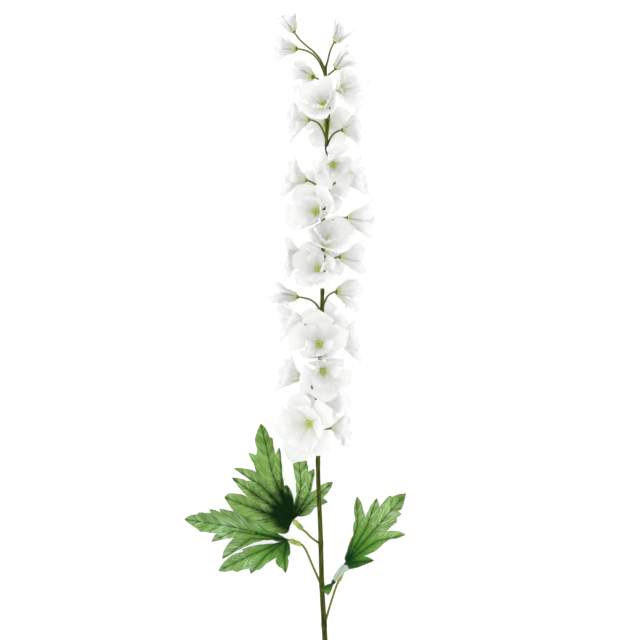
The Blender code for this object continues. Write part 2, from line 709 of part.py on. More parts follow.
def petiole(blade):
    """A leaf's stalk from the stem into the near socket of its collar."""
    collar = np.array(blade.row.collar)
    inward = unit(blade.base - collar)
    mouth = collar - (0.5 * COLLAR_LENGTH - SOCKET_DEPTH + GAP) * inward
    outside = collar - (0.5 * COLLAR_LENGTH + PETIOLE_LEAD) * inward
    root = np.array(blade.row.stalk[0])
    route = [stem_at(root[1]), *map(np.array, blade.row.stalk[1:]), outside]
    points = np.vstack([smooth_line(route, PETIOLE_SPANS), mouth])
    return tube("petiole_" + blade.row.name, points, [PETIOLE_RADIUS] * len(points), RIB_SIDES)


def make_stem(heads, blades):
    """The main stem with every stalk rooted on its centreline, as one moulded piece."""
    line = smooth_line(STEM_LINE, STEM_SPANS)
    trunk = tube("stem", line, [stem_radius(p[1]) for p in line], STEM_SIDES)
    stalks = []
    radii = [STALK_RADIUS] * STALK_SPANS + [CUP_NECK, CUP_RADIUS]
    for head in heads:
        neck = head.stalk[-1] - CUP_DEPTH * head.axis
        points = np.vstack([head.stalk[:-1], neck, head.stalk[-1]])
        stalks.append(tube("stalk_" + head.label, points, radii, STALK_SIDES))
    stalks += [petiole(blade) for blade in blades]
    fuse(trunk, stalks)


def finish_scene():
    """The pieces in their collection, coloured, shaded smooth and hung on one root."""
    spray = bpy.data.collections.new("delphinium_spray")
    bpy.context.scene.collection.children.link(spray)
    finishes = {
        "floret": material("petal_fabric", PETAL_WHITE, 0.75),
        "eye": material("eye_plastic", EYE_GREEN, 0.5),
        "stem": material("stem_plastic", STEM_OLIVE, 0.5),
        "leaf": material("leaf_fabric", LEAF_GREEN, 0.65),
        "collar": material("collar_plastic", COLLAR_GREEN, 0.45),
    }
    pieces = [piece for piece in bpy.context.scene.objects if piece.type == "MESH"]
    corners = []
    for piece in pieces:
        bpy.context.scene.collection.objects.unlink(piece)
        spray.objects.link(piece)
        piece.data.materials.clear()
        piece.data.materials.append(finishes[piece.name.split("_")[0]])
        piece.data.shade_smooth()
        piece.data.set_sharp_from_angle(angle=math.radians(35.0))
        corners += [piece.matrix_world @ spot.co for spot in piece.data.vertices]
    corners = np.array(corners)
    low, high = corners.min(axis=0), corners.max(axis=0)
    root = bpy.data.objects.new("spray_root", None)
    spray.objects.link(root)
    root.location = (-(low[0] + high[0]) / 2, -(low[1] + high[1]) / 2, -low[2])
    for piece in pieces:
        piece.parent = root


for leftover in list(bpy.data.objects):
    bpy.data.objects.remove(leftover)
heads = [Head(number, row) for number, row in enumerate(BLOOMS, 1)]
blades = [Blade(row) for row in LEAVES]
for _ in range(3):
    set_walls(heads + blades)
    for head in heads:
        head.bend_clear()
set_walls(heads + blades)
make_stem(heads, blades)
for head in heads:
    make_bloom(head)
for blade in blades:
    make_leaf(blade)
finish_scene()
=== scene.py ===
"""White delphinium spray, dressed: ruffled fabric blooms, veined leaves and moulded plastic stem.

The rows and the rules for where each petal and leaf lies are those of the part's source, so every
fine piece takes the place of its solid. Sizes are millimetres in the tables and metres in meshes.
"""

import math
import random
from collections import namedtuple

import bmesh
import bpy
import numpy as np
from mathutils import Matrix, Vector, geometry
from numpy.linalg import norm

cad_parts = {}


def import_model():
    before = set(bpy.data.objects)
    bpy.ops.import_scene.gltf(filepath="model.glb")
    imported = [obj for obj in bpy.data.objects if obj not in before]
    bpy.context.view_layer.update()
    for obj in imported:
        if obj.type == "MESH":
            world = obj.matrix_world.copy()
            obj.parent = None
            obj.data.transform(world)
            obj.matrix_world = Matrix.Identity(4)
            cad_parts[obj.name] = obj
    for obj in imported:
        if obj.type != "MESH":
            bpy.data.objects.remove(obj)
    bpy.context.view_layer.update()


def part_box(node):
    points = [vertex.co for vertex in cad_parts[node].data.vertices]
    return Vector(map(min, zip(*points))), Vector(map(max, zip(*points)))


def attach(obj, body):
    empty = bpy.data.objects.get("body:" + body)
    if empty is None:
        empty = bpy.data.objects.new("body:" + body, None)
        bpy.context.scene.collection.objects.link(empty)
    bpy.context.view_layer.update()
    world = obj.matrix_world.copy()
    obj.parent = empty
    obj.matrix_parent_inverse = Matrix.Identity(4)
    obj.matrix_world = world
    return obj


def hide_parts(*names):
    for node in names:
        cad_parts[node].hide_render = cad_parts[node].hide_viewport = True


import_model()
scene = bpy.context.scene

MM = 0.001
GAP = 0.3
UP = np.array([0.0, 0.0, 1.0])

# Main stem: centreline points from the cut end to the tip, and its radius at each
STEM_LINE = [
    (8.0, 0.0, 2.9),
    (2.9, 100.0, 14.0),
    (0.0, 152.0, 19.0),
    (-1.6, 210.0, 24.0),
    (-4.0, 275.0, 28.5),
    (-2.5, 360.0, 32.0),
    (0.0, 430.0, 33.5),
    (2.0, 540.0, 34.0),
    (4.5, 597.0, 34.0),
    (3.5, 674.0, 33.0),
]
STEM_RADII = [2.9, 2.8, 2.6, 2.4, 2.2, 2.0, 2.0, 1.8, 1.6, 1.3]

# Flower stalks and the plastic parts at the heart of a bloom
STALK_RADIUS = 1.0
STALK_THROW = 0.5
STALK_LEAN = 0.35
STALK_ARRIVAL = 0.42
CUP_RADIUS = 2.3
CUP_DEPTH = 2.0
STALK_SPANS = 5
EYE_RADIUS = 2.2
EYE_HEIGHT = 2.6

# Petals: a steep root and a flatter tip either side of the cup angle, an edge that runs full
# late along the petal, and a cupped, twisted and waved face
SHEET = 0.62
NECKS = (3.8, 2.9)
INNER_LIFT = 1.05
INNER_SHARE = 0.78
INNER_EXTRA_CUP = 15.0
STEEPEST = (72.0, 80.0)
ROOT_STEEPER = 14.0
TIP_FLATTER = 22.0
TIP_VARIES = 8.0
PETAL_WIDTH = 0.41
WIDTH_VARIES = 0.08
LENGTH_RANGE = (0.92, 1.04)
WIDEST_LATE = 1.55
EDGE_FULL = 0.8
TIP_FLARE = 0.22
SECTOR_SHARE = 0.93
CUPPED = 0.1
TWIST = 1.2
WAVE = 0.9
WAVE_TURNS = 5.0
OUTER_ROWS = (0.0, 0.4, 0.76, 1.0)
INNER_ROWS = (0.0, 0.55, 1.0)
LAYER_PETALS = 5
PETAL_TURN = 360.0 / LAYER_PETALS
NECK_SLOPE = math.tan(math.pi / LAYER_PETALS)
BEND_TRIES = (0.0, 8.0, -8.0, 16.0, -16.0, 26.0, -26.0, 38.0, 50.0)

# Room kept between neighbours: half a sheet and half a gap, then more for stalks and hubs
SKIN_ROOM = 0.6
LAYER_ROOM = 0.85
SOFT_ROOM = 3.5
STALK_ROOM = 1.6
STALK_FREE = 4.5
HUB_ROOM = 5.2
HUB_POINTS = (0.0, 2.5, 5.0)
BLADE_ROOM = 3.0
STEM_ROOM = 0.9
NEIGHBOUR_REACH = 4.0
CROSSING_MARGIN = 1.2
BEND_MARGIN = 1.5
BEND_COST = 0.02
WALL_DIRECTIONS = 420
WALL_PLACES = 7
PRESS_ROUNDS = 12

# A bloom: height along the spray, azimuth round the stem (0 is up, 90 is +X), reach of its hub
# from the stem's centreline, tilt towards the tip, turn about its own axis, petal length,
# cup angle of its petals, drop from its hub to where its stalk leaves the stem, and its own eye
Bloom = namedtuple("Bloom", "height azimuth reach tilt turn petal cup drop eye")
BLOOMS = [
    Bloom(709, -76, 33, 60, 10, 24, 68, 40, False),
    Bloom(699, 85, 10, 54, 40, 26, 62, 27, False),
    Bloom(692, -106, 31, 6, 25, 26, 62, 29, False),
    Bloom(672, 78, 11, 48, 0, 27, 60, 12, False),
    Bloom(664, -130, 17, 18, 60, 25, 50, 14, False),
    Bloom(650, 34, 24, 8, 15, 29, 34, 50, True),
    Bloom(634, -10, 18, 20, 0, 31, 32, 40, True),
    Bloom(620, -82, 19, 0, 30, 30, 44, 20, True),
    Bloom(616, 180, 14, 8, 10, 29, 36, 20, False),
    Bloom(610, 92, 17, 6, 50, 27, 44, 18, True),
    Bloom(575, 20, 19, -16, 20, 29, 34, 24, True),
    Bloom(560, 82, 20, 8, 40, 30, 40, 22, True),
    Bloom(560, -80, 20, 14, 10, 30, 48, 20, True),
    Bloom(552, -178, 15, 4, 30, 30, 36, 20, False),
    Bloom(528, -20, 20, 2, 50, 34, 28, 22, True),
    Bloom(522, 88, 25, -6, 5, 33, 40, 14, True),
    Bloom(496, 8, 18, 30, 35, 34, 34, 22, True),
    Bloom(483, 94, 18, 2, 20, 30, 42, 20, True),
    Bloom(482, -94, 19, 4, 45, 29, 45, 20, True),
    Bloom(484, 178, 15, 4, 10, 30, 36, 20, False),
    Bloom(470, -12, 20, 22, 15, 30, 31, 22, True),
    Bloom(448, 112, 16, 2, 30, 26, 44, 18, False),
    Bloom(443, -96, 26, 4, 50, 29, 62, 18, True),
    Bloom(416, -78, 19, 12, 5, 31, 42, 22, True),
    Bloom(412, 176, 15, 4, 25, 30, 36, 20, False),
    Bloom(398, 90, 18, 8, 35, 29, 42, 20, True),
    Bloom(396, -4, 20, 4, 20, 34, 30, 24, True),
    Bloom(369, 8, 20, -4, 50, 31, 30, 20, True),
    Bloom(362, -84, 20, 20, 0, 32, 45, 30, True),
    Bloom(338, 172, 15, 2, 40, 30, 36, 20, False),
    Bloom(317, -24, 20, -10, 30, 39, 27, 40, True),
    Bloom(311, 80, 14, -4, 10, 28, 42, 34, True),
]

# Leaves: where the blade begins, its cut edge clockwise from there, its lobes, the stalk's route
# and the collar's middle. A lobe is its tip (x, y, z) and the knee of the rib that runs to it.
Leaf = namedtuple("Leaf", "name base edge lobes stalk collar")
LEAF_SHEET = 0.8
LOBE_SPREAD = 0.22
FALL_CURVE = 1.4
RIB_RADIUS = 0.95
RIB_SHARE = 0.7
FOLD = 0.16
COLLAR_LENGTH = 12.0
COLLAR_RADIUS = 2.6
SOCKET_RADIUS = 1.35
SOCKET_DEPTH = 3.6
PETIOLE_RADIUS = 1.15
PETIOLE_LEAD = 1.5
UPPER_LEFT_EDGE = [
    (-32, 213), (-33.5, 207), (-37, 205), (-42, 205.5), (-47, 206.5), (-51.5, 207.5), (-57.5, 210),
    (-64, 215), (-75, 221.5), (-88, 227), (-95, 236), (-98.5, 241.5), (-94, 245.5), (-83, 245),
    (-73, 241), (-81, 248.5), (-86, 255), (-91, 261.5), (-83, 260.5), (-76, 258), (-71, 258),
    (-77, 262.5), (-83, 266.5), (-89, 271), (-79, 270.5), (-72.5, 269.5), (-66, 267), (-68.5, 276.5),
    (-72, 281.5), (-74, 286.5), (-66, 284), (-65, 290), (-67.5, 299.5), (-65.5, 307), (-61.5, 316),
    (-56.5, 311), (-53, 302.5), (-49.5, 301), (-49, 293.5), (-47, 283), (-45, 288), (-42.5, 292),
    (-41, 279.5), (-40, 264), (-38, 253.5), (-35, 254), (-31.5, 249), (-29, 242), (-28, 234.5),
    (-25.5, 244.5), (-26, 258), (-28.5, 272), (-30.5, 284), (-24, 286.5), (-18.5, 284), (-15, 277),
    (-14, 267), (-8, 270.5), (-7.5, 264), (-9.5, 256.5), (-11.5, 246.5), (-6.5, 249), (-1, 254),
    (4, 256.5), (11, 257.5), (9, 251), (1, 241), (6, 237), (-0.5, 234), (-7.5, 231.5), (-12.5, 224.5),
    (-19, 222.5), (-24.5, 222.5),
]
LOWER_LEFT_EDGE = [
    (-32.5, 194), (-32, 184), (-34.5, 181), (-33.5, 176), (-36.5, 164.5), (-40.5, 170), (-44, 171.5),
    (-47, 177), (-45.5, 181), (-50, 178.5), (-56.5, 174.5), (-62.5, 168.5), (-67, 167.5), (-72, 164),
    (-73.5, 170), (-81, 168), (-85.5, 166), (-90.5, 168), (-97.5, 166), (-104.5, 167), (-101.5, 172.5),
    (-94.5, 180), (-88.5, 184), (-79, 186.5), (-80.5, 189), (-73, 191.5), (-59.5, 194), (-48.5, 195),
    (-42, 196.5), (-50, 198.6), (-59.5, 198.2), (-68.5, 195.8), (-78.5, 191.5), (-87, 187), (-100.5, 179),
    (-99.5, 186), (-95.5, 193), (-88, 200.5), (-96, 200), (-103.5, 198), (-111.5, 196.5), (-109, 201.5),
    (-105.5, 205.5), (-115, 206), (-123.5, 207), (-125, 209), (-130.5, 212.5), (-139, 219), (-133, 223),
    (-125.5, 224), (-125, 226), (-117.5, 225.5), (-111.5, 225.5), (-113.5, 229.5), (-107.5, 228.5),
    (-101.5, 225.5), (-103.5, 230), (-94.5, 228.5), (-84.5, 226), (-73, 223.5), (-62.5, 217.5),
    (-52, 211), (-43, 204),
]
RIGHT_EDGE = [
    (22.5, 180.5), (25, 187.5), (28, 197.5), (31.5, 204.5), (31.5, 215), (33.5, 219.5), (32, 230.5),
    (35, 243), (39.5, 236.5), (41.5, 228), (44, 221.5), (46.5, 228), (49.5, 234), (55, 241), (57, 236),
    (57.5, 231.5), (62.5, 238), (68.5, 243.5), (70.5, 242), (77, 244.5), (84.5, 245.5), (83, 238),
    (80, 229.5), (76.5, 228), (80, 224.5), (75, 221), (75.5, 216.5), (70, 213), (64.5, 207.5),
    (74, 207.5), (79, 206.5), (84.5, 203.5), (76, 200), (67.5, 199), (61.5, 195), (55.5, 189),
    (49.5, 186), (42.5, 183), (48, 181), (52.5, 178), (44, 174.5), (34, 171), (28, 170), (22.5, 167),
    (17, 161), (11, 154), (9, 148), (6, 144), (2, 147.5), (-2, 149), (2.5, 153.5), (9, 156), (11, 161.5),
    (14, 167), (20.5, 174.5),
]
LEAVES = [
    Leaf(
        "upper_left",
        (-29.0, 219.0, 13.0),
        UPPER_LEFT_EDGE,
        [
            ((-98.5, 241.5, 11), (-56.5, 226)), ((-91, 261.5, 7.5), (-65.5, 243)),
            ((-89, 271, 8.5), (-61, 253.5)), ((-61.5, 316, 5), (-50, 265.5)),
            ((-42.5, 292, 10), (-40, 247.5)), ((-35, 254, 17), (-31.5, 232)),
            ((-24, 286.5, 12), (-21, 253.5)), ((-8, 270.5, 14), (-13.5, 244.5)),
            ((11, 257.5, 15), (-10.5, 238)),
        ],
        [(-4.6, 195.0, 22.8), (-10.5, 201.3, 19.0), (-15.8, 206.6, 16.5)],
        (-24.0, 214.0, 14.2),
    ),
    Leaf(
        "lower_left",
        (-35.0, 199.0, 7.5),
        LOWER_LEFT_EDGE,
        [
            ((-36.5, 164.5, 3), (-38, 183)), ((-72, 164, 1.6), (-56.5, 183)),
            ((-104.5, 167, 1.2), (-73, 182.5)), ((-100.5, 179, 4), (-72, 199.8)),
            ((-111.5, 196.5, 2), (-88.5, 207.5)), ((-139, 219, 0.6), (-91.5, 212)),
        ],
        [(-2.5, 152.0, 18.8), (-9.0, 172.0, 13.5), (-16.0, 188.0, 10.5)],
        (-26.8, 196.0, 8.4),
    ),
    Leaf(
        "right",
        (24.0, 177.0, 22.0),
        RIGHT_EDGE,
        [
            ((-2, 149, 25.5), (11.5, 156.5)), ((35, 243, 14), (35.5, 213.5)),
            ((55, 241, 11), (45.5, 213.5)), ((84.5, 245.5, 6), (51, 207.5)),
            ((84.5, 203.5, 2), (55, 198)), ((52.5, 178, 12), (35.5, 177)),
        ],
        [(4.0, 113.0, 15.3), (9.3, 137.0, 16.5), (14.2, 152.0, 17.8)],
        (18.9, 163.5, 19.5),
    ),
]


def unit(vector):
    return vector / norm(vector)


def clamp(value):
    return np.clip(value, 0.0, 1.0)


def bell(offset):
    """1 at no offset, easing to nothing on both sides."""
    return np.exp(-(offset**2))


def ring_lines(spots):
    return [(i, (i + 1) % len(spots)) for i in range(len(spots))]


def triangulated(spots, lines):
    """Plan points and triangles of a cut sheet, with the lines kept as edges."""
    cut = geometry.delaunay_2d_cdt([Vector(p) for p in spots], lines, [], 1, 1e-4)
    return np.array([tuple(p) for p in cut[0]]), cut[2]


def smooth_line(points, spans):
    """Points on a Catmull-Rom curve through the given ones, evenly spread between first and last."""
    p = np.array(points, float)
    p = np.vstack([2 * p[0] - p[1], p, 2 * p[-1] - p[-2]])
    found = []
    for t in np.linspace(0.0, len(points) - 1 - 1e-9, spans + 1):
        i = int(t)
        f = t - i
        a, b, c, d = p[i : i + 4]
        bend = 2 * a - 5 * b + 4 * c - d
        found.append(0.5 * (2 * b + (c - a) * f + bend * f**2 + (3 * b - 3 * c + d - a) * f**3))
    return np.array(found)


FINE_STEM = smooth_line(STEM_LINE, 400)


def stem_at(height):
    """Centre of the main stem at a height, which stays over its tip above it."""
    x = np.interp(height, FINE_STEM[:, 1], FINE_STEM[:, 0])
    z = np.interp(height, FINE_STEM[:, 1], FINE_STEM[:, 2])
    return np.array([x, height, z])


def stem_radius(height):
    return float(np.interp(height, [p[1] for p in STEM_LINE], STEM_RADII))


class Petal:
    """One lobe of a cut sheet: a strip that bends up from the hub, cupped across and waved."""

    def __init__(self, layer, angle, length, cup, draw):
        self.angle = angle
        self.length = length
        self.start = math.radians(min(cup + ROOT_STEEPER, STEEPEST[layer]))
        self.end = math.radians(cup - TIP_FLATTER + draw.uniform(-TIP_VARIES, TIP_VARIES))
        self.lift = layer * INNER_LIFT
        self.neck = NECKS[layer]
        self.bend = 0.0
        self.twist = draw.uniform(-TWIST, TWIST)
        self.wave = draw.uniform(0.0, math.tau)
        self.width = PETAL_WIDTH * length * draw.uniform(1 - WIDTH_VARIES, 1 + WIDTH_VARIES)

    def surface(self, u, v):
        """Points at u across (-1 to 1) and v along (0 to 1), about the bloom's axis."""
        change = self.end + math.radians(self.bend) - self.start
        change = change if abs(change) > 1e-3 else 1e-3
        slope = self.start + change * v
        out = self.neck + self.length * (np.sin(slope) - math.sin(self.start)) / change
        rise = self.lift + self.length * (math.cos(self.start) - np.cos(slope)) / change
        neck = self.neck * NECK_SLOPE
        wide = self.width * (np.sin(math.pi * v**WIDEST_LATE) ** EDGE_FULL + TIP_FLARE * v**3)
        wide = np.minimum(wide + neck * (1 - v) ** 2, SECTOR_SHARE * out * NECK_SLOPE)
        wide = np.where(v < 1e-6, neck, wide)
        ease = np.minimum(1.0, 3.0 * v)
        across = u * wide
        waved = WAVE * np.sin(WAVE_TURNS * v + self.wave) * v * u
        proud = ease * (CUPPED * wide * u**2 + self.twist * u + waved)
        out = out - proud * np.sin(slope)
        rise = rise + proud * np.cos(slope)
        cos, sin = math.cos(self.angle), math.sin(self.angle)
        return np.stack([out * cos - across * sin, out * sin + across * cos, rise], axis=-1)


class Head:
    """A bloom in place: its frame, its petals, its stalk's route and the walls round it."""

    def __init__(self, number, row):
        draw = random.Random(number)
        self.row = row
        self.label = f"{number:02d}"
        side = math.radians(row.azimuth)
        tilt = math.radians(row.tilt)
        radial = np.array([math.sin(side), 0.0, math.cos(side)])
        axis = math.cos(tilt) * radial + np.array([0.0, math.sin(tilt), 0.0])
        across = unit(np.cross([0.0, 1.0, 0.0], radial))
        along = np.cross(axis, across)
        self.radial = radial
        self.axis = axis
        self.frame = np.array([across, along, axis])
        self.hub = stem_at(row.height) + row.reach * radial
        self.layers = []
        for layer in range(2):
            cup = row.cup + layer * INNER_EXTRA_CUP
            share = INNER_SHARE if layer else 1.0
            petals = []
            for k in range(LAYER_PETALS):
                angle = math.radians(row.turn + PETAL_TURN * (0.5 * layer + k))
                length = row.petal * share * draw.uniform(*LENGTH_RANGE)
                petals.append(Petal(layer, angle, length, cup, draw))
            self.layers.append(petals)
        self.walls = []
        self.stalk = self.stalk_route()

    def place(self, local):
        return self.hub + local @ self.frame

    def stalk_route(self):
        end = self.hub - (SHEET / 2 + GAP) * self.axis
        start = stem_at(self.row.height - self.row.drop)
        length = norm(end - start)
        lean = unit(np.array([0.0, 1.0, 0.0]) + STALK_LEAN * self.radial)
        first = start + STALK_THROW * length * lean
        last = end - STALK_ARRIVAL * length * self.axis
        t = np.linspace(0.0, 1.0, STALK_SPANS + 1)[:, None]
        cubic = (1 - t) ** 3 * start + 3 * (1 - t) ** 2 * t * first
        return cubic + 3 * (1 - t) * t**2 * last + t**3 * end

    def fixed(self):
        """Points that no neighbour may come near, with the room each needs."""
        heart = [(self.place(np.array([0.0, 0.0, z])), HUB_ROOM) for z in HUB_POINTS]
        route = smooth_line(self.stalk, 12)
        away = [p for p in route if norm((p - stem_at(p[1]))[[0, 2]]) > STALK_FREE]
        return heart + [(p, STALK_ROOM) for p in away]

    def sample(self, petal, rows):
        u, v = np.meshgrid([-1.0, 0.0, 1.0], rows[1:])
        return self.place(petal.surface(u.ravel(), v.ravel()))

    def cloud(self):
        outer = [self.sample(petal, OUTER_ROWS) for petal in self.layers[0]]
        inner = [self.sample(petal, INNER_ROWS) for petal in self.layers[1]]
        return np.vstack(outer + inner)

    def bend_clear(self):
        """Each petal takes the bend that crosses the walls least, an inner one no less than the outer."""
        outer, inner = self.layers
        for petal in outer:
            self.choose_bend(petal, OUTER_ROWS, BEND_TRIES)
        for k, petal in enumerate(inner):
            least = max(outer[k].bend, outer[(k + 1) % LAYER_PETALS].bend)
            self.choose_bend(petal, INNER_ROWS, [bend for bend in BEND_TRIES if bend >= least])

    def choose_bend(self, petal, rows, tries):
        costs = []
        for bend in tries:
            petal.bend = bend
            points = self.sample(petal, rows)
            deep = sum(np.clip(BEND_MARGIN - inside(points, wall), 0, None).sum() for wall in self.walls)
            costs.append(deep + BEND_COST * abs(bend))
        petal.bend = tries[int(np.argmin(costs))]


class Blade:
    """A leaf: its cut outline in plan, its ribs and collar, and a height for every point of it."""

    def __init__(self, row):
        self.row = row
        self.base = np.array(row.base)
        self.foot = self.base[:2]
        self.collar = np.array(row.collar)
        self.inward = unit(self.base - self.collar)
        self.tips = np.array([tip for tip, _ in row.lobes])
        self.ribs = [(np.array(knee), np.array(tip[:2])) for tip, knee in row.lobes]
        self.walls = []
        self.plan = self.cut()

    def cut(self):
        """Plan points of the blade: the corners of its edge and marks along its ribs."""
        outline = [self.foot, *map(np.array, self.row.edge)]
        spots = list(outline)
        lines = ring_lines(outline)
        for knee, tip in self.ribs:
            rib = range(len(spots), len(spots) + 2)
            lines += list(zip([0, *rib], rib))
            spots += [knee, knee + RIB_SHARE * (tip - knee)]
        return triangulated(spots, lines)[0]

    def heights(self, plan):
        """Height over the surface: each lobe falls to its own tip and folds along its rib."""
        from_base = plan - self.foot
        far = norm(from_base, axis=1) + 1e-9
        runs = self.tips[:, :2] - self.foot
        long = norm(runs, axis=1)
        cosine = from_base @ (runs / long[:, None]).T / far[:, None]
        turn = np.arccos(np.clip(cosine, -1, 1))
        pull = bell(turn / LOBE_SPREAD) + 1e-9
        pull /= pull.sum(axis=1)[:, None]
        fall = (self.tips[:, 2] - self.base[2]) * (far[:, None] / long) ** FALL_CURVE
        aside = far * np.sin(np.min(turn, axis=1))
        return self.base[2] + (pull * fall).sum(axis=1) + FOLD * aside

    def cloud(self):
        return np.column_stack([self.plan, self.heights(self.plan)])

    def surface(self, plan):
        """Points of the blade's mid-surface, pressed clear of what is round it."""
        placed = np.column_stack([plan, self.heights(plan)])
        return press(placed, self.walls, (LEAF_SHEET - SHEET) / 2)

    def fixed(self):
        return [(self.base, BLADE_ROOM)]


def inside(points, wall):
    """How far each point lies on the allowed side of a wall."""
    normal, place, room = wall
    return place - points @ normal - room


def find_wall(one, other):
    """The plane between two bodies that their petals cross least, or None if all are blocked."""
    count = np.arange(WALL_DIRECTIONS)
    high = 1 - 2 * (count + 0.5) / WALL_DIRECTIONS
    spin = count * math.pi * (3 - math.sqrt(5))
    flat = np.sqrt(1 - high**2)
    normals = np.stack([flat * np.cos(spin), flat * np.sin(spin), high], axis=1)
    a, b = one.cloud() @ normals.T, other.cloud() @ normals.T
    low = np.max([p @ normals.T + room for p, room in one.fixed()], axis=0)
    top = np.min([p @ normals.T - room for p, room in other.fixed()], axis=0)
    best = None
    for share in np.linspace(0.0, 1.0, WALL_PLACES):
        place = low + share * (top - low)
        cost = (np.clip(a - place + CROSSING_MARGIN, 0, None) ** 2).sum(axis=0)
        cost += (np.clip(place - b + CROSSING_MARGIN, 0, None) ** 2).sum(axis=0)
        cost = np.where(low <= top, cost, np.inf)
        k = int(np.argmin(cost))
        if best is None or cost[k] < best[0]:
            best = (cost[k], normals[k], place[k])
    return best


def set_walls(bodies):
    """A wall between every two bodies that could meet, and one along the stem behind each bloom."""
    for body in bodies:
        body.walls = [(-UP, -SHEET / 2, 0.0)]
    for body in bodies:
        if isinstance(body, Head):
            room = stem_radius(body.row.height) + STEM_ROOM
            body.walls.append((-body.radial, -float(stem_at(body.row.height) @ body.radial), room))
    for i, one in enumerate(bodies):
        for other in bodies[i + 1 :]:
            a, b = one.cloud(), other.cloud()
            apart = np.maximum(a.min(axis=0) - b.max(axis=0), b.min(axis=0) - a.max(axis=0))
            if apart.max() > NEIGHBOUR_REACH:
                continue
            cost, normal, place = find_wall(one, other)
            if not math.isfinite(cost):
                raise ValueError(f"no wall fits between {one.row} and {other.row}")
            one.walls.append((normal, place, SKIN_ROOM))
            other.walls.append((-normal, -place, SKIN_ROOM))


def press(points, walls, extra):
    """The points moved inside every wall: eased near it, then held to it."""
    points = points.copy()
    reach = SOFT_ROOM
    for wall in walls:
        deep = inside(points, wall) - extra
        eased = reach * np.exp(np.minimum(deep - reach, 0.0) / reach)
        points -= np.where(deep < reach, eased - deep, 0.0)[:, None] * wall[0]
    for _ in range(PRESS_ROUNDS):
        for wall in walls:
            deep = inside(points, wall) - extra
            points -= np.clip(-deep, 0.0, None)[:, None] * wall[0]
    return points


# Fine petals: points across and along, the cloth's thickness, how its tip and waist narrow, and how
# its edge and face are ruffled. Heights of folds are millimetres, the rest are shares of the petal.
PETAL_ACROSS = 14
PETAL_ALONG = 24
ROWS_SPREAD = 1.35
PROBE = 0.03
CLOTH = 0.28
TIP_CLOSES = (0.5, 0.76)
TIP_ROUNDS = (0.48, 0.75)
TIP_LEAST = 0.13
TIP_NOTCH = 0.035
WAIST = 0.24
WAIST_AT = 0.3
WAIST_REACH = 0.24
RAGGED = 0.08
FRAYED = 0.045
RUFFLE = 1.5
RUFFLE_TURNS = (1.4, 2.6)
TIP_WAVE = 0.9
CURL = (-2.6, 3.0)
CREASE = 0.6
CREASE_REACH = 0.13
PLEAT = 0.2
BUCKLE = 0.55
ROOT_HELD = 0.3

# Eyes: a dome and rows of bristles, as shares of the eye's radius and height, then a finish tone
EYE_DOME = [(0, 0, 0), (0.95, 0, 0), (1, 0.2, 0), (0.8, 0.5, 0.1)]
EYE_DOME += [(0.5, 0.62, 0.7), (0.25, 0.5, 1), (0, 0.45, 1)]
EYE_SIDES = 18
EYE_CLEAR = 0.1
BRISTLES = [(11, 0.78, 0.84), (7, 0.42, 1.0)]
BRISTLE_FOOT = 0.3
BRISTLE_LEAN = 0.25
BRISTLE_RADII = [0.22, 0.2, 0.22, 0.34, 0.16]
BRISTLE_TONES = [0.4, 0.2, 0.0, 0.0, 0.0]
SMALL_SIDES = 6

# Stem and stalks: steps and sides, swellings at the joints, the cup's flare and the sepals round it
STEM_STEPS = 220
STEM_SIDES = 20
JOINT_SWELLS = 0.13
JOINT_REACH = 3.2
STALK_STEPS = 26
STALK_SIDES = 10
STALK_SWELLS = 0.5
CUP_RISE = [0.25, 0.5, 0.75, 1.0]
CUP_FLARE = [1.0, 1.35, 1.95, CUP_RADIUS]
CUP_TONES = [0.9, 1.0, 1.0, 1.0]
SEPALS = 5
SEPAL_FOOT = 0.6
SEPAL_LINE = [(0.9, 0.0), (1.8, 0.7), (2.7, 1.5)]
SEPAL_RADII = [0.4, 0.6, 0.55, 0.35, 0.12]
PETIOLE_STEPS = 30
PETIOLE_SIDES = 12
PETIOLE_SWELLS = 0.45

# Fine leaves: mesh step, teeth, veins, pressed relief, the lobe that is turned over at its neck,
# shown by its underside's colour on a strip there, and the lobes whose painted foot shade starts further
# out
LEAF_STEP = 1.5
ROW_STEP = 0.87
EDGE_BULGE = 0.03
EDGE_NICK = 0.12
LEAF_CLOTH = 0.5
VEIN_SPACING = 9.0
VEIN_SLOPE = 1.9
RIB_END = 0.96
RIB_DENT = 0.5
CAMBER = 0.05
PUCKER = 0.22
RIM_WAVE = 1.3
RIM_REACH = 7.0
FOLDED_LOBE = {"right": 0}
FOLD_START = 2.0
FOLD_END = 22.0
FOLD_DIM = 5.0
PALE_LOBES = {"upper_left": (6, 7, 8)}
PALE_SHIFT = 20.0

# Ribs under a leaf, and a collar as shares of its radius with heights from its mouth or middle
RIB_SIDES = 8
RIB_LEAST = 0.22
RIB_THIN = 0.15
RIB_FLOOR = 1.3
RIB_DROP = 0.75
SIDE_RIB = 0.6
COLLAR_SIDES = 22
COLLAR_LIP = [(0.66, 0.0), (0.8, 0.25), (0.93, 1.0), (1.0, 2.0)]
COLLAR_RINGS = [(1, -0.9), (0.9, -0.6), (0.9, -0.2), (1, 0.1), (1, 1.0), (0.9, 1.3), (0.9, 1.7), (1, 2.0)]

# The angle that shades as an edge, seeds of the draws, and rounds in which the walls settle
SHARP_ANGLE = 50.0
PETAL_SEED = 1000
EYE_SEED = 2000
STEM_SEED = 7
WALL_ROUNDS = 3

# Places of the colour sockets of a mix node
MIX_SHARE = 0
MIX_ONE = 6
MIX_OTHER = 7
MIX_RESULT = 2

heads = [Head(number, row) for number, row in enumerate(BLOOMS, 1)]
blades = [Blade(row) for row in LEAVES]
for _ in range(WALL_ROUNDS):
    set_walls(heads + blades)
    for head in heads:
        head.bend_clear()
set_walls(heads + blades)

low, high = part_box("collar_upper_left")
SHIFT = 0.5 * (np.array(low) + np.array(high)) - blades[0].collar * MM


def world(points):
    """Points of the tables, in millimetres, at their place in the frame."""
    return np.asarray(points) * MM + SHIFT


